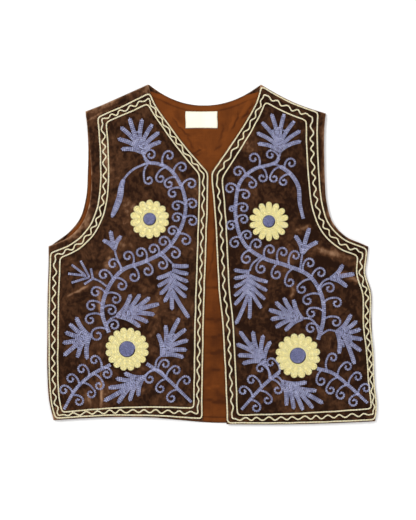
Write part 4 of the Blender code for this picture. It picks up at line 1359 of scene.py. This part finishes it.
def addFront(front, rows):
    step = cloth["gridStep"]
    plan, underarm, _ = frontPlan(front, step, columnShares(cloth["frontWidth"], step))
    points = flatPoints(plan)
    edge = edgeDistance(points, rimLoop(plan))
    side = [row[0] for row in plan[:underarm + 1]]
    fromSeam = np.minimum(pathDistance(points, side), pathDistance(points, plan[-1]))
    toSeam = smoothStep(fromSeam / cloth["seamSlope"])
    level = cloth["seamLevel"] + (cloth["frontLevel"] - cloth["seamLevel"]) * toSeam
    lowest = cloth["seamLevel"] + (cloth["frontLowest"] - cloth["seamLevel"]) * toSeam
    swell = np.sin(pi / 2 * easeIn(edge, cloth["swellWidth"]))
    lift = (cloth["swell"] + marks(front["folds"], points, 2) / 1000) * swell
    nearRim = easeIn(edge, cloth["creaseRim"])
    crease = marks(front["creases"], points, crooked=True) / 1000 * nearRim
    rough = unevenness(points, cloth["broadSize"], 1.0)
    rough += cloth["fineShare"] * unevenness(points, cloth["fineSize"], 8.0)
    rough *= cloth["unevenness"] * nearRim
    # the pile stands up between the rows of stitches
    sewnPoints = np.array([tuple(p) for group in rows.values() for row in group
                           for p in resample([Vector(q) for q in row[0]], 0.004)])
    sewn = nearestDistance(points, sewnPoints)
    puff = cloth["puff"] * (1 - ridge(sewn, cloth["puffReach"])) * easeIn(edge, cloth["puffRim"])
    radius = cloth["frontThickness"] / 2
    rounding = roundedEdge(edge, radius)
    top = level + lift + cloth["frontThickness"] + crease + rough + puff - rounding
    bottom = np.maximum(level + lift + crease, lowest) + rounding
    bottom = np.minimum(bottom, top - cloth["leastThickness"] * easeIn(edge, radius))
    light = napAndPaintedLight(front, points, edge, crease, sewn)
    return clothShell(front["name"] + "_front_velvet", plan, top, bottom, "nap", light, 0)


def nearestDistance(points, others):
    result = np.empty(len(points))
    for first in range(0, len(points), 1000):
        away = points[first:first + 1000, None, :] - others[None]
        result[first:first + 1000] = np.sqrt((away ** 2).sum(2).min(1))
    return result


# effects shared by the materials
def setInputs(node, values):
    for label, value in values.items():
        isColour = isinstance(value, tuple) and node.inputs[label].type == "RGBA"
        node.inputs[label].default_value = (*value, 1.0) if isColour else value


def addNode(tree, kind, inputs, output=0, **settings):
    node = tree.nodes.new("ShaderNode" + kind)
    for name, value in settings.items():
        setattr(node, name, value)
    for label, value in inputs.items():
        if isinstance(value, bpy.types.NodeSocket):
            tree.links.new(value, node.inputs[label])
        else:
            node.inputs[label].default_value = value
    return node.outputs[output]


def newGroup(name, numbers, colours):
    group = bpy.data.node_groups.new(name, "ShaderNodeTree")
    sockets = [("Place", "Vector")] + [(label, "Float") for label in numbers]
    for label, kind in sockets + [(label, "Color") for label in colours]:
        socket = group.interface.new_socket(label, in_out="INPUT", socket_type="NodeSocket" + kind)
        if label in numbers:
            socket.default_value = numbers[label]
    for label, kind in (("Colour", "Color"), ("Height", "Float")):
        group.interface.new_socket(label, in_out="OUTPUT", socket_type="NodeSocket" + kind)
    return group, group.nodes.new("NodeGroupInput").outputs


def finishGroup(group, colour, height):
    result = group.nodes.new("NodeGroupOutput").inputs
    group.links.new(colour, result["Colour"])
    group.links.new(height, result["Height"])
    return group


def mathNode(tree, operation, first, second=0.0, clamp=False):
    return addNode(tree, "Math", {0: first, 1: second}, operation=operation, use_clamp=clamp)


def plus(tree, first, second, clamp=False):
    return mathNode(tree, "ADD", first, second, clamp)


def times(tree, first, second):
    return mathNode(tree, "MULTIPLY", first, second)


def noiseNode(tree, place, scale, detail, roughness, distortion=0.0):
    return addNode(tree, "TexNoise", {"Vector": place, "Scale": scale, "Detail": detail,
                                      "Roughness": roughness, "Distortion": distortion})


def stretched(tree, place, scale, turn=0.0):
    return addNode(tree, "Mapping", {"Vector": place, "Scale": scale,
                                     "Rotation": (0.0, 0.0, radians(turn))})


def mapRange(tree, value, low, high, outLow=0.0, outHigh=1.0):
    return addNode(tree, "MapRange", {"Value": value, "From Min": low, "From Max": high,
                                      "To Min": outLow, "To Max": outHigh})


def mixColours(tree, share, first, second):
    return addNode(tree, "Mix", {0: share, 6: first, 7: second}, 2, data_type="RGBA")


def makeNapGroup():
    nap, given = newGroup("crushed nap", {"Lift": 0.0, "Patch Scale": 38.0, "Patch Amount": 0.5},
                          ("Dark", "Middle", "Light"))
    place = given["Place"]
    patches = noiseNode(nap, place, given["Patch Scale"], 6.0, 0.64, 1.1)
    streaks = noiseNode(nap, stretched(nap, place, (1.0, 0.72, 1.0), 14.0), 165.0, 4.0, 0.58, 0.5)
    grain = noiseNode(nap, place, 1500.0, 3.0, 0.6)
    cloud = times(nap, mapRange(nap, patches, 0.42, 0.70), given["Patch Amount"])
    mottle = mapRange(nap, streaks, 0.36, 0.70, -0.12, 0.20)
    # the mesh's nap, with its painted sheen, highlights and shade, lifts the pile towards Middle
    # and Light
    lift = plus(nap, plus(nap, cloud, mottle), given["Lift"])
    lift = plus(nap, lift, mapRange(nap, grain, 0.3, 0.7, -0.07, 0.07), clamp=True)
    colour = mixColours(nap, mapRange(nap, lift, 0.0, 0.42), given["Dark"], given["Middle"])
    colour = mixColours(nap, mapRange(nap, lift, 0.36, 1.0), colour, given["Light"])
    return finishGroup(nap, colour, plus(nap, times(nap, streaks, 0.7), times(nap, grain, 0.5)))


def makeWeaveGroup():
    weave, given = newGroup("plain weave", {"Threads": 2200.0, "Slub": 0.3, "Fold": 0.0},
                            ("Thread Colour", "Shade Colour"))
    place = given["Place"]
    ribs = [mathNode(weave, "SINE", times(
        weave, addNode(weave, "SeparateXYZ", {0: place}, axis), given["Threads"])) for axis in "XY"]
    crossings = times(weave, *ribs)
    slubs = plus(weave, *[noiseNode(weave, stretched(weave, place, scale), 90.0, 4.0, 0.6)
                          for scale in ((9.0, 0.35, 1.0), (0.35, 9.0, 1.0))])
    cloud = noiseNode(weave, place, 26.0, 5.0, 0.6, 0.6)
    tone = times(weave, mapRange(weave, slubs, 0.75, 1.25, -0.5, 0.5), given["Slub"])
    tone = plus(weave, tone, mapRange(weave, cloud, 0.35, 0.65, 0.10, 0.50))
    tone = plus(weave, tone, times(weave, crossings, 0.10))
    # Fold brings the mesh's painted shade of the lining's folds
    tone = plus(weave, tone, given["Fold"], clamp=True)
    colour = mixColours(weave, tone, given["Thread Colour"], given["Shade Colour"])
    return finishGroup(weave, colour, plus(weave, times(weave, crossings, 0.4), slubs))


def makePlyGroup():
    ply, given = newGroup("twisted ply", {"Crown": 0.5, "Strand": 0.0, "Tone": 0.5},
                          ("Thread Colour", "Painted Shade Colour", "Worn Colour"))
    place, crown, tone = given["Place"], given["Crown"], given["Tone"]
    twist = mathNode(ply, "SINE", plus(ply, times(ply, given["Strand"], 9000.0),
                                       times(ply, crown, 7.0)))
    rubbed = noiseNode(ply, place, 60.0, 5.0, 0.6, 0.5)
    fluff = noiseNode(ply, place, 2600.0, 2.0, 0.5)
    # painted shade: darker low on each stitch and in the grooves of the twist, and on some stitches
    # at random
    paintedShade = plus(ply, mapRange(ply, crown, 0.06, 0.56, 0.90, 0.0), times(ply, twist, 0.10))
    paintedShade = plus(ply, paintedShade, mapRange(ply, tone, 0.0, 0.30, 0.34, 0.0), clamp=True)
    worn = plus(ply, mapRange(ply, rubbed, 0.40, 0.70, 0.0, 0.55),
                mapRange(ply, tone, 0.2, 1.0, -0.45, 0.85), clamp=True)
    colour = mixColours(ply, worn, given["Thread Colour"], given["Worn Colour"])
    colour = mixColours(ply, paintedShade, colour, given["Painted Shade Colour"])
    return finishGroup(ply, colour, plus(ply, twist, times(ply, fluff, 0.8)))


def makeMaterial(name, look, group, numbers=()):
    # numbers are the mesh's own, read by the group's inputs of the same names
    material = bpy.data.materials.new(name)
    material.use_nodes = True
    tree = material.node_tree
    shader = tree.nodes["Principled BSDF"]
    setInputs(shader, look["shader"])
    node = tree.nodes.new("ShaderNodeGroup")
    node.node_tree = group
    tree.links.new(addNode(tree, "TexCoord", {}, "Object"), node.inputs["Place"])
    for label in numbers:
        read = {"Lift": "nap"}.get(label, label.lower())
        value = addNode(tree, "Attribute", {}, "Fac", attribute_name=read)
        tree.links.new(value, node.inputs[label])
    setInputs(node, look["values"])
    tree.links.new(node.outputs["Colour"], shader.inputs["Base Color"])
    tree.links.new(addNode(tree, "Bump", {
        "Height": node.outputs["Height"], "Strength": look["bump"], "Distance": look["bumpDepth"],
    }, "Normal"), shader.inputs["Normal"])
    return material


def clothFinish(roughness, specular, sheen, sheenRoughness, sheenTint):
    return {"Roughness": roughness, "Specular IOR Level": specular, "Sheen Weight": sheen,
            "Sheen Roughness": sheenRoughness, "Sheen Tint": sheenTint}


velvetLook = {
    "shader": clothFinish(0.92, 0.08, 0.10, 0.42, (0.62, 0.36, 0.22)),
    "bump": 0.55,
    "bumpDepth": 0.0005,
    "values": {"Patch Scale": 30.0, "Patch Amount": 0.38, "Dark": (0.0150, 0.0050, 0.0018),
               "Middle": (0.0800, 0.0330, 0.0140), "Light": (0.3100, 0.1740, 0.0980)},
}
backVelvetLook = dict(velvetLook, values=dict(velvetLook["values"], **{"Patch Amount": 0.40}))
liningLook = {
    "shader": clothFinish(0.88, 0.10, 0.03, 0.5, (0.60, 0.32, 0.15)),
    "bump": 0.25,
    "bumpDepth": 0.0002,
    "values": {"Threads": 9000.0, "Slub": 0.16, "Thread Colour": (0.1560, 0.0405, 0.0060),
               "Shade Colour": (0.0560, 0.0135, 0.0022)},
}
labelLook = {
    "shader": clothFinish(0.75, 0.30, 0.10, 0.4, (1.0, 0.97, 0.88)),
    "bump": 0.35,
    "bumpDepth": 0.0002,
    "values": {"Threads": 7000.0, "Slub": 0.20, "Thread Colour": (0.880, 0.860, 0.730),
               "Shade Colour": (0.720, 0.700, 0.560)},
}
threadLook = {
    "shader": clothFinish(0.62, 0.30, 0.08, 0.4, (1.0, 0.98, 0.94)),
    "bump": 0.4,
    "bumpDepth": 0.00010,
}
# colours of the thread, of its painted shade low on each stitch and in its twist, and of its worn
# places
threadColours = {
    "lavender_thread": ((0.312, 0.326, 0.512), (0.064, 0.060, 0.125), (0.480, 0.496, 0.715)),
    "yellow_thread": ((0.990, 0.880, 0.400), (0.960, 0.820, 0.320), (0.995, 0.920, 0.520)),
    "cream_thread": ((0.995, 0.895, 0.590), (0.900, 0.760, 0.450), (0.998, 0.935, 0.700)),
    "centre": ((0.205, 0.222, 0.420), (0.062, 0.062, 0.150), (0.330, 0.345, 0.580)),
}

napGroup, weaveGroup, plyGroup = makeNapGroup(), makeWeaveGroup(), makePlyGroup()
velvet = makeMaterial("crushed velvet", velvetLook, napGroup, ("Lift",))
backVelvet = makeMaterial("back velvet", backVelvetLook, napGroup, ("Lift",))
cotton = makeMaterial("rust cotton", liningLook, weaveGroup, ("Fold",))
facing = makeMaterial("front facing", liningLook, weaveGroup)
tape = makeMaterial("cream tape", labelLook, weaveGroup)
threads = {}
for slot, colours in threadColours.items():
    values = dict(zip(("Thread Colour", "Painted Shade Colour", "Worn Colour"), colours))
    threads[slot] = makeMaterial(slot.replace("_", " "), dict(threadLook, values=values), plyGroup,
                                 ("Crown", "Strand", "Tone"))
print("materials made")


# putting it together
def wear(piece, materials, slot, *nodes):
    for material in materials:
        piece.data.materials.append(material)
    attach(piece, "root")
    if nodes:
        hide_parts(*nodes)


def threadOf(node):
    if node.endswith("_line"):
        return "cream_thread"
    return "yellow_thread" if node.endswith("_petals") else "lavender_thread"


def sewLabel(label):
    inset = labelShape["stitchInset"]
    halfWidth, halfHeight = labelShape["width"] / 2 - inset, labelShape["height"] / 2 - inset
    sewing = newSewing(surfaceOf(label), 3, stitch["overlap"])
    corners = [Vector(labelShape["centre"]) + Vector((sx * halfWidth, sy * halfHeight))
               for sx, sy in ((-1, -1), (1, -1), (1, 1), (-1, 1), (-1, -1))]
    for a, b in zip(corners, corners[1:]):
        count = int((b - a).length / labelShape["stitchPitch"])
        for k in range(count):
            points = [a.lerp(b, (k + share) / count) for share in (0.15, 0.5, 0.85)]
            sewRow(sewing, points, *labelShape["stitchSize"])
    wear(addStitches(sewing, "neck_label_stitches"), (threads["cream_thread"],), "cream_thread")


def dressFront(front):
    name = front["name"]
    rows = sewnRows(front)
    panel = addFront(front, rows)
    wear(panel, (velvet, facing), "velvet", name + "_front")
    under = [k % 2 for k in range(len(panel.data.polygons))]
    panel.data.polygons.foreach_set("material_index", under)
    ground = surfaceOf(panel)
    for seed, (node, group) in enumerate(sorted(rows.items())):
        slot = threadOf(node)
        overlap = stitch["lavenderOverlap"] if slot == "lavender_thread" else stitch["overlap"]
        sewing = newSewing(ground, seed + 11, overlap)
        for row in group:
            sewRow(sewing, *row)
        piece = addStitches(sewing, name + "_" + node + "_stitches")
        thread = threads["centre" if node.endswith("_centre") else slot]
        # the scrolls are single rows of sewing, which no solid stands for
        wear(piece, (thread,), slot, *(() if node == "scrolls" else (name + "_" + node,)))


back = addBack()
wear(back, (backVelvet,), "velvet", "back")
inside = addLining()
wear(inside, (cotton,), "lining", "back_lining")
label = addLabel()
wear(label, (tape,), "label", "neck_label")
print("back, lining and label made")
sewLabel(label)
dressFront(rightFront)
dressFront(leftFront)

# floor, light and camera
studio = {
    "floorColour": (0.93, 0.93, 0.925),
    "floorSize": 8.0,
    "floorLevel": -0.0002,
    "roomLight": 0.66,
    "keyPower": 33.0,
    "keyPlace": (-1.15, 0.95, 1.70),
    "softboxSize": 0.9,
    "fillPower": 9.8,
    "fillPlace": (1.30, -0.70, 1.60),
    "cameraHeight": 2.0,
    "sharpLevel": 0.006,
    "cameraCentre": (-0.00574, -0.00803),
    "viewHeight": 0.7956,
}


def addFloor():
    size = studio["floorSize"] / 2
    mesh = bpy.data.meshes.new("floor")
    corners = [(x * size, y * size, studio["floorLevel"])
               for x, y in ((-1, -1), (1, -1), (1, 1), (-1, 1))]
    mesh.from_pydata(corners, [], [(0, 1, 2, 3)])
    material = bpy.data.materials.new("pale floor")
    material.use_nodes = True
    setInputs(material.node_tree.nodes["Principled BSDF"], {
        "Base Color": studio["floorColour"], "Roughness": 0.95, "Specular IOR Level": 0.1})
    mesh.materials.append(material)
    addToScene("floor", mesh)


def addSoftbox(name, place, power):
    light = bpy.data.lights.new(name, "AREA")
    light.shape = "SQUARE"
    light.size = studio["softboxSize"]
    light.energy = power
    lamp = addToScene(name, light)
    lamp.location = place
    lamp.rotation_mode = "QUATERNION"
    lamp.rotation_quaternion = (-Vector(place)).to_track_quat("-Z", "Y")


def addCamera():
    data = bpy.data.cameras.new("camera")
    camera = addToScene("camera", data)
    x, y = studio["cameraCentre"]
    camera.location = (x + patternShift[0], y + patternShift[1], studio["cameraHeight"])
    data.sensor_width = 36.0
    reach = studio["cameraHeight"] - studio["sharpLevel"]
    data.lens = data.sensor_width * reach / studio["viewHeight"]
    data.clip_end = 20.0
    bpy.context.scene.camera = camera


addFloor()
addSoftbox("key light", studio["keyPlace"], studio["keyPower"])
addSoftbox("fill light", studio["fillPlace"], studio["fillPower"])
world = bpy.data.worlds.new("studio room")
world.use_nodes = True
setInputs(world.node_tree.nodes["Background"], {
    "Color": (1.0, 1.0, 1.0), "Strength": studio["roomLight"]})
bpy.context.scene.world = world
bpy.context.scene.view_settings.view_transform = "Standard"
addCamera()
print("floor, light and camera set")
